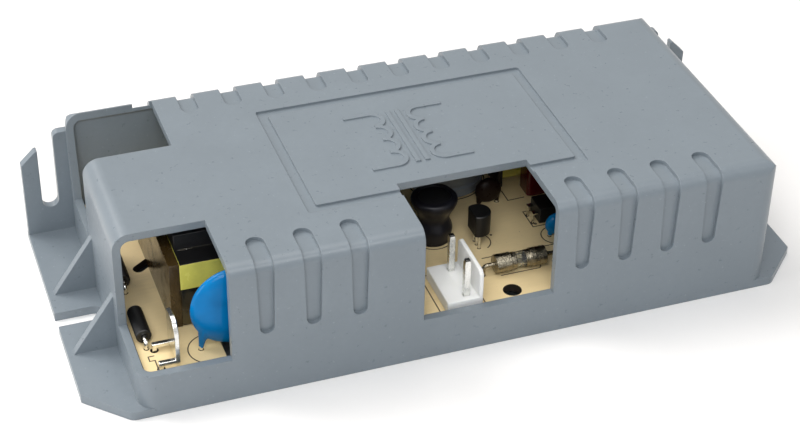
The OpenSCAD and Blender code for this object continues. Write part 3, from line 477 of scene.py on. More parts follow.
@dataclass(frozen=True)
class EpoxyCoat(Finish):
    """Dipped epoxy with a faint shine and orange peel.

    Attributes:
        roughness: How dull it is.
        peel_mm, peel_depth_mm: Its orange peel.
    """

    roughness: float = 0.12
    peel_mm: float = 1.6
    peel_depth_mm: float = 0.02

    def lay_out(self, recipe: Recipe) -> None:
        """Lays out the coat's nodes."""
        flow = recipe.grain(5)
        recipe.colour_from(recipe.shades(recipe.spread(flow, 0, 1), self.colour,
                                         (0, 0.86), (0.5, 1), (1, 1.12)))
        recipe.roughness_from(recipe.grain(0.8), self.roughness * 0.7, self.roughness * 1.8)
        recipe.relief((flow, self.peel_depth_mm * 3), (recipe.grain(self.peel_mm), self.peel_depth_mm))
        recipe.fix(Specular_IOR_Level=0.16)


@dataclass(frozen=True)
class ShrunkFilm(Finish):
    """Shrunk dark film with fine pull lines and a soft shine."""

    def lay_out(self, recipe: Recipe) -> None:
        """Lays out the film's nodes."""
        pull = recipe.grain(1.8, 4, (1, 1, 0.35))
        recipe.colour_from(recipe.shades(pull, self.colour, (0.3, 0.7), (0.7, 1.5)))
        recipe.roughness_from(pull, 0.3, 0.48)
        recipe.relief((pull, 0.06), (recipe.grain(0.5), 0.008))
        recipe.fix(Specular_IOR_Level=0.3)


@dataclass(frozen=True)
class HighlightStripedSleeve(Finish):
    """Shrunk can sleeve with pale upright stripes round it, which are painted highlights of the shiny
    can.

    Attributes:
        centre_mm: The can's axis, from the part's origin.
        highlight_colour: The colour of the stripes, a painted highlight.
        stripes: How many there are.
    """

    centre_mm: Point
    highlight_colour: Colour
    stripes: float = 6.0

    def lay_out(self, recipe: Recipe) -> None:
        """Lays out the sleeve's nodes."""
        across, ahead = (recipe.maths("SUBTRACT", recipe.along(axis), centre * MM)
                         for axis, centre in zip("XY", self.centre_mm))
        angle = recipe.maths("ARCTAN2", ahead, across)
        wave = recipe.maths("SINE", recipe.maths("MULTIPLY", angle, self.stripes))
        film = recipe.grain(2, 3)
        body = recipe.shades(film, self.colour, (0.2, 0.85), (0.8, 1.15))
        # The pale stripes are painted highlights.
        band = recipe.shades(film, self.highlight_colour, (0.2, 1), (0.8, 1.1))
        recipe.colour_from(recipe.over(body, band, wave, 0.86, 0.9))
        recipe.roughness_from(film, 0.5, 0.6)
        recipe.relief((film, 0.02))
        recipe.fix(Specular_IOR_Level=0.15)


@dataclass(frozen=True)
class BandedLacquer(Finish):
    """Beige lacquer of a resistor body with colour bands across its axis.

    Attributes:
        centres_mm: The bodies' middles along X, from the part's origin.
        bands: Colours of the bands, from left to right.
        pitch_mm, band_mm: The bands' distance and width.
    """

    centres_mm: tuple[float, ...]
    bands: tuple[Colour, ...]
    pitch_mm: float = 1.1
    band_mm: float = 0.45

    def lay_out(self, recipe: Recipe) -> None:
        """Lays out the lacquer's nodes."""
        film = recipe.grain(1.2)
        tone = recipe.shades(film, self.colour, (0.2, 0.88), (0.8, 1.08))
        along = recipe.along("X")
        edge = self.band_mm / 2 * MM
        for centre in self.centres_mm:
            for number, band in enumerate(self.bands):
                middle = centre + (number - (len(self.bands) - 1) / 2) * self.pitch_mm
                away = recipe.maths("ABSOLUTE", recipe.maths("SUBTRACT", along, middle * MM))
                ring = recipe.shades(film, band, (0.2, 0.85), (0.8, 1.1))
                tone = recipe.over(tone, ring, away, edge * 1.1, edge * 0.9)
        recipe.colour_from(tone)
        recipe.roughness_from(film, 0.2, 0.34)
        recipe.relief((film, 0.02))


@dataclass(frozen=True)
class StudioPaper(Finish):
    """Plain pale paper of the studio floor."""

    def lay_out(self, recipe: Recipe) -> None:
        """Lays out the paper's nodes."""
        fibre = recipe.grain(3, 3)
        recipe.colour_from(recipe.shades(fibre, self.colour, (0.2, 0.99), (0.8, 1)))
        recipe.roughness_from(fibre, 0.8, 0.9)
        recipe.fix(Specular_IOR_Level=0.1)


class Finishes:
    """All finishes of the module, by what they are on."""

    case = MouldedPlastic("case_grey", paint(121, 131, 139), roughness=0.32, grain_depth_mm=0.0035,
                          edge_mm=0.2)
    cover = MouldedPlastic("cover_grey", paint(124, 133, 140), roughness=0.55)
    white_nylon = MouldedPlastic("header_white", paint(238, 240, 239), roughness=0.42, mottling=0.015,
                                 speck_gain=0.97, soft_light=0.45)
    black_part = MouldedPlastic("component_black", paint(14, 14, 15), roughness=0.42, mottling=0.15,
                                grain_mm=0.2, grain_depth_mm=0.012, speck_gain=1.8)
    former_black = MouldedPlastic("former_black", paint(17, 17, 18), roughness=0.36, mottling=0.15,
                                  speck_gain=2.0)
    red_box = MouldedPlastic("film_box_red", paint(84, 13, 20), roughness=0.22, mottling=0.08)
    tin = MetalPlate("tin_bright", paint(226, 226, 222), roughness=0.16)
    pin_tin = MetalPlate("pin_tin", paint(226, 226, 222), roughness=0.24, streak=(8, 8, 1),
                         dark_above_mm=17.25)
    screw_zinc = MetalPlate("screw_zinc", paint(196, 198, 200), roughness=0.28)
    cap_nickel = MetalPlate("fuse_cap_nickel", paint(150, 143, 126), roughness=0.22, dent_mm=0.34,
                            dent_depth_mm=0.1, stain=0.25)
    sink = MetalPlate("sink_aluminium", paint(188, 192, 196), roughness=0.34, streak=(1, 1, 0.1),
                      stain=0.85)
    board = BoardLaminate("board_tan", paint(232, 210, 162))
    ink = Ink("board_ink", paint(44, 36, 30))
    # Yellow tape that turns darker olive below 9 mm, fully by 8 mm: the darker part is painted shade.
    tape = TapeFilm("tape_yellow", paint(220, 214, 102), paint(150, 150, 62), 8.0, 9.0)
    # Amber film below 7.8 mm that turns nearly black by 12 mm: the black is painted shade that stands in
    # for the shaded winding under the film.
    wrap = TapeFilm("wrap_amber", paint(10, 9, 7), paint(80, 70, 42), 7.8, 12.0)
    amber = ClearSheet("barrier_amber", paint(88, 68, 34), roughness=0.2, clear=0.45,
                       wave_depth_mm=0.02, smudge=0.2)
    glass = ClearSheet("fuse_glass_clear", paint(246, 248, 246), roughness=0.03)
    varnish = ClearSheet("varnish_clear", paint(226, 218, 200), roughness=0.04)
    ferrite = Sinter("ferrite_dark", paint(21, 21, 23))
    copper = WoundWire("winding_copper", paint(196, 112, 60))
    choke_copper = WoundWire("choke_copper", paint(196, 112, 60), turn_mm=0.4)
    blue = EpoxyCoat("epoxy_blue", paint(4, 118, 184))
    brown = EpoxyCoat("epoxy_brown", paint(32, 21, 18), roughness=0.3)
    sleeve = ShrunkFilm("sleeve_dark", paint(20, 20, 26))


# Mesh work

def dress(piece: Piece, finish: Finish) -> None:
    """Gives a piece one finish all over."""
    piece.data.materials.clear()
    piece.data.materials.append(finish.material())


def piece_from(name: str, shape: Mesh) -> Piece:
    """Makes an object of a finished mesh.

    Args:
        name: The piece's name.
        shape: The mesh, which is freed.

    Returns:
        The linked object.
    """
    bmesh.ops.recalc_face_normals(shape, faces=shape.faces)
    mesh = bpy.data.meshes.new(name)
    shape.to_mesh(mesh)
    shape.free()
    mesh.polygons.foreach_set("use_smooth", [True] * len(mesh.polygons))
    mesh.set_sharp_from_angle(angle=math.radians(SHARP_DEG))
    piece = bpy.data.objects.new(name, mesh)
    bpy.context.scene.collection.objects.link(piece)
    return piece


def baked(piece: Piece) -> None:
    """Applies all of a piece's modifiers to its mesh."""
    bpy.context.view_layer.update()
    result = bpy.data.meshes.new_from_object(
        piece.evaluated_get(bpy.context.evaluated_depsgraph_get()))
    old = piece.data
    piece.modifiers.clear()
    piece.data = result
    bpy.data.meshes.remove(old)


class Edge(Enum):
    """How far a moulded, cut or pressed edge is rounded, in millimetres."""

    BLOCK = 0.18
    PART = 0.14
    METAL = 0.1
    FINE = 0.06


def softened(node: str, edge: Edge) -> Piece:
    """Copies a CAD node with its sharp edges rounded.

    Args:
        node: The CAD node's name.
        edge: How far the edges are rounded.

    Returns:
        The new piece, named after the node.
    """
    weld_m, flat_deg, bend_deg = 2e-6, 1.0, 28.0
    shape = bmesh.new()
    shape.from_mesh(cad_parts[node].data)
    bmesh.ops.remove_doubles(shape, verts=shape.verts, dist=weld_m)
    bmesh.ops.dissolve_limit(shape, angle_limit=math.radians(flat_deg), verts=shape.verts,
                             edges=shape.edges, delimit={"NORMAL"})
    piece = piece_from(f"{node}_rounded", shape)
    bevel = piece.modifiers.new("rounding", "BEVEL")
    bevel.limit_method = "ANGLE"
    bevel.angle_limit = math.radians(bend_deg)
    bevel.width = edge.value * MM
    bevel.segments = 2
    bevel.use_clamp_overlap = False
    bevel.miter_outer = "MITER_SHARP"
    level = piece.modifiers.new("level", "WEIGHTED_NORMAL")
    level.keep_sharp = True
    baked(piece)
    return piece


def circle(count: int) -> list[Point]:
    """Gives evenly spaced places on a circle of radius 1."""
    angles = [2 * math.pi * k / count for k in range(count)]
    return [(math.cos(angle), math.sin(angle)) for angle in angles]


def skin(shape: Mesh, rows: Sequence[Sequence[bmesh.types.BMVert]], closed: bool = False) -> None:
    """Joins rows of vertices with faces.

    Args:
        shape: The mesh.
        rows: The rows in order, with as many vertices each.
        closed: If the last row joins the first. Otherwise both ends get a cap.
    """
    for here, there in zip(rows, rows[1:] + rows[:1] if closed else rows[1:]):
        for low in range(len(here)):
            high = (low + 1) % len(here)
            shape.faces.new((here[low], there[low], there[high], here[high]))
    if not closed:
        shape.faces.new(rows[0])
        shape.faces.new(rows[-1])


# Sub-assemblies

@dataclass
class SubAssembly(ABC):
    """A group of pieces that are built and dressed together."""

    made: list[str] = field(default_factory=list, init=False)

    @abstractmethod
    def build(self) -> None:
        """Builds and dresses the group's pieces."""

    def keep(self, node: str, finish: Finish) -> None:
        """Keeps a CAD node's own shape and dresses it."""
        dress(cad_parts[node], finish)
        self.made.append(node)

    def adopt(self, piece: Piece, finish: Finish, slot: str, *nodes: str) -> None:
        """Dresses a new piece and hangs it on the module.

        Args:
            piece: The new piece.
            finish: Its finish.
            slot: Not used.
            nodes: The CAD nodes that it stands for.
        """
        dress(piece, finish)
        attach(piece, BODY)
        if nodes:
            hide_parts(*nodes)
        self.made.append(piece.name)

    def soften(self, node: str, edge: Edge, finish: Finish, slot: str) -> None:
        """Stands a copy with rounded edges in for a CAD node."""
        self.adopt(softened(node, edge), finish, slot, node)


@dataclass
class MouldedCase(SubAssembly):
    """The grey case, its base cover and the screws that close it."""

    def build(self) -> None:
        """Builds and dresses the case."""
        self.keep("housing_shell", Finishes.case)
        self.soften("base_cover", Edge.BLOCK, Finishes.cover, "cover_plastic")
        self.soften("case_screws", Edge.METAL, Finishes.screw_zinc, "screw_steel")


def arc(centre: Point, radius: float, start: float, end: float, steps: int = 24) -> list[Point]:
    """Gives the points of an arc, with its angles in degrees."""
    angles = [math.radians(start + (end - start) * i / steps) for i in range(steps + 1)]
    return [(centre[0] + radius * math.cos(angle), centre[1] + radius * math.sin(angle))
            for angle in angles]


def rectangle(left: float, front: float, right: float, rear: float) -> list[Point]:
    """Gives a rectangle's corners."""
    return [(left, front), (right, front), (right, rear), (left, rear)]


@dataclass
class BoardPrint(SubAssembly):
    """The board and the outlines that are printed on it.

    Attributes:
        line_mm, ink_mm: A printed line's width, and how far the ink stands up.
        terminals_mm: The distance between the two terminals' marks.
        sharpest: The cosine of half a bend, from which on a corner reaches no further out.
    """

    line_mm: float = 0.22
    ink_mm: float = 0.02
    terminals_mm: float = 41.0
    sharpest: float = 0.4

    def outlines(self) -> Iterable[tuple[list[Point], bool]]:
        """Gives the printed lines from the case's front left corner, and if each is closed."""
        # Disc capacitor
        yield arc((14.4, 6.3), 4.1, 90, 270) + arc((21.8, 6.3), 4.1, -90, 90), True
        # Two terminals
        mark = ((4.45, 7.4), (3.35, 7.4), (3.35, 6.15), (4.3, 6.15), (4.3, 2.45), (3.35, 2.45))
        for shift in (0.0, self.terminals_mm):
            yield [(x, y + shift) for x, y in mark], False
        # Mains header
        yield rectangle(56.15, 1.9, 64.9, 14.2), True
        # Fuse, and the line behind it
        yield [(70.6, 9.9), (78.4, 9.9), (78.8, 10.4), (78.8, 12.4)], False
        yield [(69.1, 15.9), (86.4, 15.9)], False
        # Regulator with its dot
        yield arc((70.0, 21.1), 2.75, -60, 60), False
        yield arc((73.5, 22.4), 0.16, 0, 360, 10), True
        # Choke
        yield arc((62.7, 25.0), 3.75, 0, 360, 48), True
        # Optocoupler with its dot
        yield rectangle(82.2, 22.3, 90.0, 27.5), True
        yield arc((83.0, 23.1), 0.2, 0, 360, 10), True
        # Corner of the film capacitor
        yield [(80.9, 35.5), (80.9, 32.0), (84.35, 32.1)], False
        # Small capacitor
        yield arc((85.3, 18.6), 2.8, 0, 360, 36), True
        # Bulk capacitor
        yield arc((71.8, 43.2), 7.8, 0, 360, 64), True

    def ribbon(self, shape: Mesh, corner: Vector, points: list[Point], closed: bool) -> None:
        """Adds one printed line to the mesh.

        Args:
            shape: The mesh of all the print.
            corner: The case's front left corner, on the board's upper face.
            points: The line's points, in millimetres from the corner.
            closed: If the line ends where it starts.
        """
        flat = [Vector(p) for p in points]
        if closed and (flat[0] - flat[-1]).length < 1e-6:
            flat.pop()
        count = len(flat)
        sections = []
        for i, here in enumerate(flat):
            before = flat[i - 1] if closed or i else here - (flat[i + 1] - here)
            after = flat[(i + 1) % count] if closed or i < count - 1 else here + (here - flat[i - 1])
            first, second = (here - before).normalized(), (after - here).normalized()
            side = (first.orthogonal() + second.orthogonal()).normalized()
            reach = self.line_mm / 2 / max(self.sharpest, side.dot(first.orthogonal().normalized()))
            sections.append([
                shape.verts.new(corner + Vector((*(here + side * sign * reach), rise)) * MM)
                for sign, rise in ((-1, 0.0), (-1, self.ink_mm), (1, self.ink_mm), (1, 0.0))])
        skin(shape, sections, closed)

    def build(self) -> None:
        """Builds the print and dresses the board."""
        self.keep("circuit_board", Finishes.board)
        low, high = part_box("housing_shell")
        left = (low.x + high.x - CASE_LENGTH_MM * MM) / 2
        corner = Vector((left, low.y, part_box("circuit_board")[1].z))
        shape = bmesh.new()
        for points, closed in self.outlines():
            self.ribbon(shape, corner, points, closed)
        self.adopt(piece_from("board_print", shape), Finishes.ink, "black_plastic")


@dataclass
class StepUpTransformer(SubAssembly):
    """The high-voltage transformer: core, former, windings, tapes and barrier plate.

    Attributes:
        bead_inset_mm: How far the varnish bead ends inside the core's width.
        bead_mm, bead_swell_mm: Its radius, and how far that varies.
        bead_front_mm, bead_drift_mm: How far it lies in front of the core, and how far it wanders.
        bead_steps: How many steps it has.
    """

    bead_inset_mm: float = 0.6
    bead_mm: float = 0.22
    bead_swell_mm: float = 0.14
    bead_front_mm: float = 0.08
    bead_drift_mm: float = 0.25
    bead_steps: int = 40

    def build(self) -> None:
        """Builds and dresses the transformer."""
        for half in ("core_upper", "core_lower"):
            self.soften(half, Edge.PART, Finishes.ferrite, "ferrite")
        self.soften("winding_former", Edge.PART, Finishes.former_black, "black_plastic")
        for winding in ("primary_winding", "secondary_winding"):
            self.keep(winding, Finishes.copper)
        self.keep("primary_tape", Finishes.tape)
        self.keep("secondary_wrap", Finishes.wrap)
        self.soften("barrier_plate", Edge.FINE, Finishes.amber, "amber_sheet")
        self.keep("former_pins", Finishes.pin_tin)
        self.varnish()

    def varnish(self) -> None:
        """Adds the varnish bead that glues the core to the former's front edge."""
        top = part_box("winding_former")[1].z
        low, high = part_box("core_upper")
        inset, front = self.bead_inset_mm * MM, low.y - self.bead_front_mm * MM
        shape = bmesh.new()
        rows = []
        for i in range(self.bead_steps + 1):
            share = i / self.bead_steps
            x = low.x + inset + (high.x - low.x - 2 * inset) * share
            swell = (self.bead_mm + self.bead_swell_mm * noise.noise(Vector((share * 9, 3.1, 0)))) * MM
            y = front + self.bead_drift_mm * MM * noise.noise(Vector((share * 5, 7.7, 0)))
            rows.append([shape.verts.new((x, y + swell * across, top + swell * 0.5 * up))
                         for across, up in circle(8)])
        skin(shape, rows)
        self.adopt(piece_from("varnish_bead", shape), Finishes.varnish, "amber_sheet")


@dataclass
class DippedDisc(SubAssembly):
    """A dipped disc: a lens-shaped body that runs out into a neck on each lead.

    Attributes:
        node: The CAD node of the body.
        finish, slot: Its coat, and a slot name that is passed on but not used.
        spread_mm: The distance between its leads.
        voxel_mm: How fine the coat is modelled.
        fullness: How full its rim is: 1 for an ellipsoid, less for a fuller rim.
        foot_mm: A neck's radius at its foot.
        neck_thick: Its radius at its top, as a share of half the disc's thickness.
        neck_drop, neck_lean: How far its top is below the centre and leans in, as shares of the radius.
    """

    node: str = "hv_capacitor"
    finish: Finish = Finishes.blue
    slot: str = "blue_epoxy"
    spread_mm: float = 12.5
    voxel_mm: float = 0.2
    fullness: float = 0.8
    foot_mm: float = 0.45
    neck_thick: float = 0.62
    neck_drop: float = 0.45
    neck_lean: float = 0.1

    def build(self) -> None:
        """Builds the coat as one skin over the disc and its two necks."""
        low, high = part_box(self.node)
        middle = (low + high) / 2
        radius = (high.x - low.x) / 2
        half = (high.y - low.y) / 2
        centre = Vector((middle.x, middle.y, high.z - radius))
        shape = bmesh.new()
        rows = []
        slices = 28
        for i in range(1, slices):
            angle = math.pi * i / slices
            reach, depth = radius * math.sin(angle) ** self.fullness, half * math.cos(angle)
            rows.append([shape.verts.new(centre + Vector((reach * across, depth, reach * up)))
                         for across, up in circle(72)])
        skin(shape, rows)
        for side in (-1, 1):
            foot = Vector((middle.x + side * self.spread_mm / 2 * MM, middle.y, low.z))
            top = Vector((foot.x - side * self.neck_lean * radius, centre.y,
                          centre.z - radius * self.neck_drop))
            self.neck(shape, foot, top, half * self.neck_thick)
        piece = piece_from(f"{self.node}_coat", shape)
        coat = piece.modifiers.new("skin", "REMESH")
        coat.mode = "VOXEL"
        coat.voxel_size = self.voxel_mm * MM
        coat.use_smooth_shade = True
        calm = piece.modifiers.new("calm", "SMOOTH")
        calm.iterations = 8
        baked(piece)
        self.adopt(piece, self.finish, self.slot, self.node)

    def neck(self, shape: Mesh, foot: Vector, top: Vector, thick: float) -> None:
        """Adds a tapered closed neck between two points.

        Args:
            shape: The mesh.
            foot, top: Its two ends.
            thick: Its radius at the top, in metres.
        """
        thin = self.foot_mm * MM
        steps = 10
        rows = []
        for i in range(steps + 1):
            share = i / steps
            radius = thin + (thick - thin) * share ** 1.3
            at = foot.lerp(top, share)
            rows.append([shape.verts.new(at + Vector((radius * across, radius * ahead, 0)))
                         for across, ahead in circle(20)])
        skin(shape, rows)


@dataclass
class LeadedParts(SubAssembly):
    """The small leaded parts: diodes, regulator, optocoupler, bridge, switches and their leads.

    Attributes:
        same_body_mm: Places on one resistor lie closer to each other than this along X.
    """

    same_body_mm: float = 3.9

    def build(self) -> None:
        """Builds and dresses the small parts."""
        for name in ("hv_diode_front", "hv_diode_rear", "regulator", "optocoupler", "rectifier",
                     "power_switch_left", "power_switch_right"):
            self.soften(name, Edge.BLOCK, Finishes.black_part, "black_plastic")
        leads = [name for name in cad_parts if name.endswith(("_lead", "_leads"))]
        for name in (*leads, "line_coil_pins"):
            self.keep(name, Finishes.tin)
        self.soften("film_capacitor", Edge.PART, Finishes.red_box, "red_case")
        self.soften("heat_sink", Edge.METAL, Finishes.sink, "sink_aluminium")
        self.soften("switch_screws", Edge.METAL, Finishes.screw_zinc, "screw_steel")
        self.resistors()

    def resistors(self) -> None:
        """Dresses the resistors with their colour bands."""
        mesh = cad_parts["resistors"].data
        bodies: list[list[float]] = []
        for x in sorted({round(vert.co.x / MM, 1) for vert in mesh.vertices}):
            if bodies and x - bodies[-1][-1] < self.same_body_mm:
                bodies[-1].append(x)
            else:
                bodies.append([x])
        centres = tuple((body[0] + body[-1]) / 2 for body in bodies)
        bands = (paint(120, 70, 35), paint(28, 26, 26), paint(200, 90, 30), paint(190, 150, 60))
        self.keep("resistors", BandedLacquer("resistor_lacquer", paint(214, 190, 148), centres, bands))


@dataclass
class SpringTerminals(SubAssembly):
    """The two bent sheet terminals of the high-voltage side."""

    def build(self) -> None:
        """Builds and dresses the terminals."""
        for name in ("output_terminal", "return_terminal"):
            self.soften(name, Edge.METAL, Finishes.tin, "tin")


@dataclass
class MainsHeader(SubAssembly):
    """The white header with its guard wall and its two square pins.

    Attributes:
        tip_mm: The length of a pin's tapered tip.
        tip_share: The tip's width as a share of the pin's.
    """

    tip_mm: float = 0.8
    tip_share: float = 0.7

    def build(self) -> None:
        """Builds and dresses the header."""
        self.soften("header_base", Edge.BLOCK, Finishes.white_nylon, "white_nylon")
        low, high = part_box("header_pins")
        tip = self.tip_mm * MM
        half = (high.x - low.x) / 2
        thin = half * self.tip_share
        shape = bmesh.new()
        for y in (low.y + half, high.y - half):
            centre = Vector((low.x + half, y, 0))
            rows = []
            for z, reach in ((low.z, thin), (low.z + tip, half), (high.z - tip, half), (high.z, thin)):
                rows.append([shape.verts.new(centre + Vector((right * reach, rear * reach, z)))
                             for right, rear in ((-1, -1), (1, -1), (1, 1), (-1, 1))])
            skin(shape, rows)
        pins = piece_from("header_pins_tapered", shape)
        bevel = pins.modifiers.new("rounding", "BEVEL")
        bevel.width = Edge.FINE.value * MM
        bevel.segments = 2
        baked(pins)
        self.adopt(pins, Finishes.pin_tin, "tin", "header_pins")


@dataclass
class Fuse(SubAssembly):
    """The leaded glass fuse."""

    def build(self) -> None:
        """Builds and dresses the fuse."""
        for name in ("fuse_cap_left", "fuse_cap_right"):
            self.soften(name, Edge.METAL, Finishes.cap_nickel, "tin")
        self.keep("fuse_glass", Finishes.glass)
        self.keep("fuse_wire", Finishes.tin)


@dataclass
class DrumChoke(SubAssembly):
    """The drum choke under a shrunk sleeve that follows its waist.

    Attributes:
        knots: Shares of the height and of the largest radius where the side turns.
        span_steps: How many points each span between two knots has.
        skin_mm: The film's thickness.
        lip_mm: How far the film grips in over the top.
        wrinkle_mm: How uneven the sleeve is.
        wrinkles_per_m: How close its wrinkles are.
    """

    knots: tuple[Point, ...] = ((0.0, 0.76), (0.25, 0.82), (0.52, 0.68), (0.93, 1.0))
    span_steps: int = 11
    skin_mm: float = 0.5
    lip_mm: float = 1.3
    wrinkle_mm: float = 0.2
    wrinkles_per_m: float = 420.0

    def profile(self, radius: float, tall: float) -> list[Point]:
        """Gives the film's closed profile: up the side, over the lip and down inside.

        Args:
            radius: The largest radius, in millimetres.
            tall: The sleeve's height, in millimetres.

        Returns:
            Radius and height of each point.
        """
        outer = []
        for (low, thin), (high, thick) in zip(self.knots, self.knots[1:]):
            for i in range(self.span_steps):
                share = i / self.span_steps
                blend = (1 - math.cos(math.pi * share)) / 2
                outer.append(((thin + (thick - thin) * blend) * radius,
                              (low + (high - low) * share) * tall))
        turn = (1 - self.knots[-1][0]) * tall
        shoulder = [(radius - turn * (1 - math.cos(math.radians(a))),
                     tall - turn * (1 - math.sin(math.radians(a)))) for a in range(0, 91, 15)]
        mouth = radius - self.lip_mm
        lip = [(mouth + 0.1, tall - 0.02), (mouth, tall - 0.14), (mouth + 0.06, tall - 0.4),
               (radius - turn, tall - self.skin_mm)]
        inner = [(r - self.skin_mm * 0.6, h) for r, h in reversed(outer)]
        return outer + shoulder + lip + inner

    def build(self) -> None:
        """Builds and dresses the choke."""
        self.keep("choke_core", Finishes.ferrite)
        self.keep("choke_winding", Finishes.choke_copper)
        low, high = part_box("choke_sleeve")
        centre = Vector(((low.x + high.x) / 2, (low.y + high.y) / 2, low.z))
        slack_mm = 0.02
        profile = self.profile((high.x - low.x) / 2 / MM - slack_mm, (high.z - low.z) / MM)
        shape = bmesh.new()
        skin(shape, [[shape.verts.new(centre + Vector((radius * across, radius * ahead, height)) * MM)
                      for radius, height in profile] for across, ahead in circle(110)], closed=True)
        for vert in shape.verts:
            away = Vector((vert.co.x - centre.x, vert.co.y - centre.y, 0))
            spot = vert.co * self.wrinkles_per_m
            amount = noise.noise(Vector((spot.x, spot.y, spot.z * 0.5))) - 0.5
            vert.co += away.normalized() * amount * self.wrinkle_mm * MM
        self.adopt(piece_from("choke_sleeve_shrunk", shape), Finishes.sleeve, "shrink_sleeve",
                   "choke_sleeve")


@dataclass
class BulkCapacitor(SubAssembly):
    """The upright can capacitor with its sleeve, striped with painted highlights."""

    def build(self) -> None:
        """Dresses the can."""
        low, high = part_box("bulk_capacitor")
        centre = ((low.x + high.x) / 2 / MM, (low.y + high.y) / 2 / MM)
        sleeve = HighlightStripedSleeve("can_sleeve", paint(14, 15, 18), centre, paint(50, 54, 58))
        self.keep("bulk_capacitor", sleeve)


@dataclass
class LineCoil(SubAssembly):
    """The lying line coil with its taped winding."""

    def build(self) -> None:
        """Dresses the coil."""
        self.soften("line_coil_former", Edge.PART, Finishes.former_black, "black_plastic")
        self.keep("line_coil_core", Finishes.ferrite)
        self.keep("line_coil_winding", Finishes.tape)


# Studio

@dataclass(frozen=True)
class Lamp:
    """A square soft lamp that points at the module.

    Attributes:
        name: The lamp's name.
        place, aim: Where it hangs and where it points, in metres.
        size: Its side, in metres.
        watts, tone: Its power and colour.
    """

    name: str
    place: Place
    size: float
    watts: float
    tone: Colour = (1.0, 1.0, 1.0)
    aim: Place = (0, 0, 0.01)

    def hang(self) -> None:
        """Hangs the lamp."""
        data = bpy.data.lights.new(self.name, "AREA")
        data.color = self.tone
        data.size = self.size
        data.energy = self.watts
        lamp = bpy.data.objects.new(self.name, data)
        lamp.location = self.place
        lamp.rotation_euler = (Vector(self.aim) - Vector(self.place)).to_track_quat("-Z", "Y").to_euler()
        bpy.context.scene.collection.objects.link(lamp)


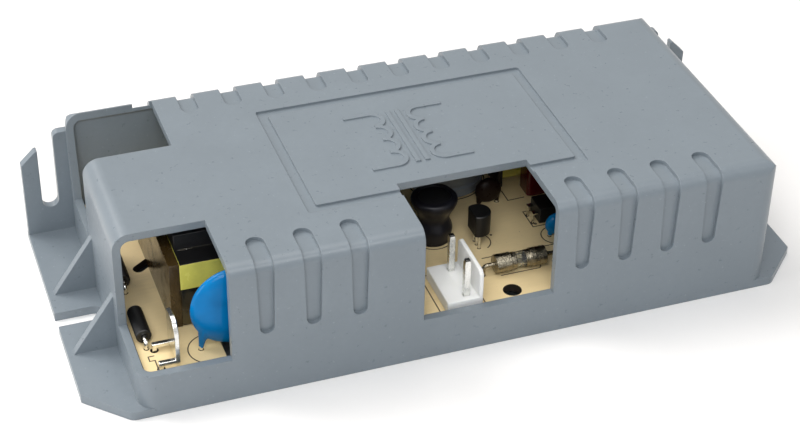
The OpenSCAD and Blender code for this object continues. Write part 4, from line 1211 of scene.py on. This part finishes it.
@dataclass
class Studio:
    """The pale floor, the lamps and the camera.

    Attributes:
        eye: The camera's place, in metres.
        turn, tilt, roll: The camera's angles, in radians.
        lens_mm, sensor_mm: Its lens and the width of its sensor.
        floor_m, floor_tone: The floor's side and its colour, linear.
        floor_drop_mm: How far the floor lies below the module.
        surround, surround_strength: The light from all round.
        warm: The tone of the lamps above and behind the module.
    """

    eye: Place = (-0.10205, -0.27420, 0.21843)
    turn: float = 0.347
    tilt: float = 0.623
    roll: float = 0.017
    lens_mm: float = 84.69
    sensor_mm: float = 36.0
    floor_m: float = 3.0
    floor_drop_mm: float = 0.02
    floor_tone: Colour = (0.93, 0.93, 0.93)
    surround: Colour = (0.95, 0.97, 1.0)
    surround_strength: float = 0.04
    warm: Colour = (1.0, 0.96, 0.92)

    def build(self) -> None:
        """Sets up the floor, the light and the camera."""
        bpy.context.scene.view_settings.view_transform = "Standard"
        self.lay_floor()
        self.set_world()
        for lamp in (
            Lamp("key_lamp", (-0.26, -0.62, 0.72), 0.5, 4.75),
            Lamp("top_lamp", (-0.05, 0.1, 1.0), 0.8, 4.2, self.warm),
            Lamp("rear_lamp", (-0.5, 0.5, 0.8), 0.6, 7.2, self.warm),
            Lamp("left_lamp", (-0.9, -0.1, 0.3), 0.4, 2.6),
            Lamp("side_lamp", (0.8, -0.1, 0.5), 0.6, 0.4),
            Lamp("edge_lamp", (0.2, -0.60, 0.76), 0.2, 1.0),
        ):
            lamp.hang()
        self.set_camera()

    def lay_floor(self) -> None:
        """Lays the floor."""
        shape = bmesh.new()
        bmesh.ops.create_grid(shape, x_segments=4, y_segments=4, size=self.floor_m / 2)
        bmesh.ops.translate(shape, verts=shape.verts, vec=(0, 0, -self.floor_drop_mm * MM))
        floor = piece_from("studio_floor", shape)
        dress(floor, StudioPaper("studio_paper", self.floor_tone))

    def set_world(self) -> None:
        """Sets a faint surround that looks bright in the picture, in metal and through glass."""
        world = bpy.data.worlds.new("studio_surround")
        bpy.context.scene.world = world
        world.use_nodes = True
        nodes = Nodes(world.node_tree)
        dim = nodes.tree.nodes["Background"]
        dim.inputs["Color"].default_value = (*self.surround, 1.0)
        dim.inputs["Strength"].default_value = self.surround_strength
        bright = nodes.add("ShaderNodeBackground")
        bright.inputs["Strength"].default_value = 1.0
        rays = nodes.add("ShaderNodeLightPath").outputs
        seen = nodes.maths("MAXIMUM", rays["Is Camera Ray"], rays["Is Glossy Ray"])
        seen = nodes.maths("MAXIMUM", seen, rays["Is Transmission Ray"])
        mix = nodes.add("ShaderNodeMixShader")
        for port, source in zip(mix.inputs, (seen, dim.outputs[0], bright.outputs[0])):
            nodes.join(source, port)
        nodes.join(mix.outputs[0], nodes.tree.nodes["World Output"].inputs["Surface"])

    def set_camera(self) -> None:
        """Places the camera at the photograph's viewing angle."""
        ahead = Vector((math.sin(self.turn) * math.cos(self.tilt),
                        math.cos(self.turn) * math.cos(self.tilt), -math.sin(self.tilt)))
        level = Vector((math.cos(self.turn), -math.sin(self.turn), 0))
        upright = level.cross(ahead)
        right = math.cos(self.roll) * level + math.sin(self.roll) * upright
        up = -math.sin(self.roll) * level + math.cos(self.roll) * upright
        data = bpy.data.cameras.new("photo_camera")
        data.lens = self.lens_mm
        data.sensor_width = self.sensor_mm
        data.clip_start = 0.01
        camera = bpy.data.objects.new("photo_camera", data)
        axes = Matrix((right, up, -ahead)).transposed().to_4x4()
        camera.matrix_world = Matrix.Translation(Vector(self.eye)) @ axes
        bpy.context.scene.collection.objects.link(camera)
        bpy.context.scene.camera = camera


def main() -> None:
    """Builds every sub-assembly in order and reports what it made."""
    logging.basicConfig(level=logging.INFO, format="%(name)s: %(message)s")
    groups: list[SubAssembly] = [
        MouldedCase(),
        BoardPrint(),
        StepUpTransformer(),
        DippedDisc(),
        DippedDisc(node="small_capacitor", spread_mm=2.54, voxel_mm=0.12),
        DippedDisc(node="thermistor", finish=Finishes.brown, slot="brown_coat", spread_mm=3.8,
                   voxel_mm=0.13),
        LeadedParts(),
        SpringTerminals(),
        MainsHeader(),
        Fuse(),
        DrumChoke(),
        BulkCapacitor(),
        LineCoil(),
    ]
    for group in groups:
        group.build()
        LOG.info("%s: %s", type(group).__name__, ", ".join(group.made))
    Studio().build()


if __name__ == "__main__":
    main()
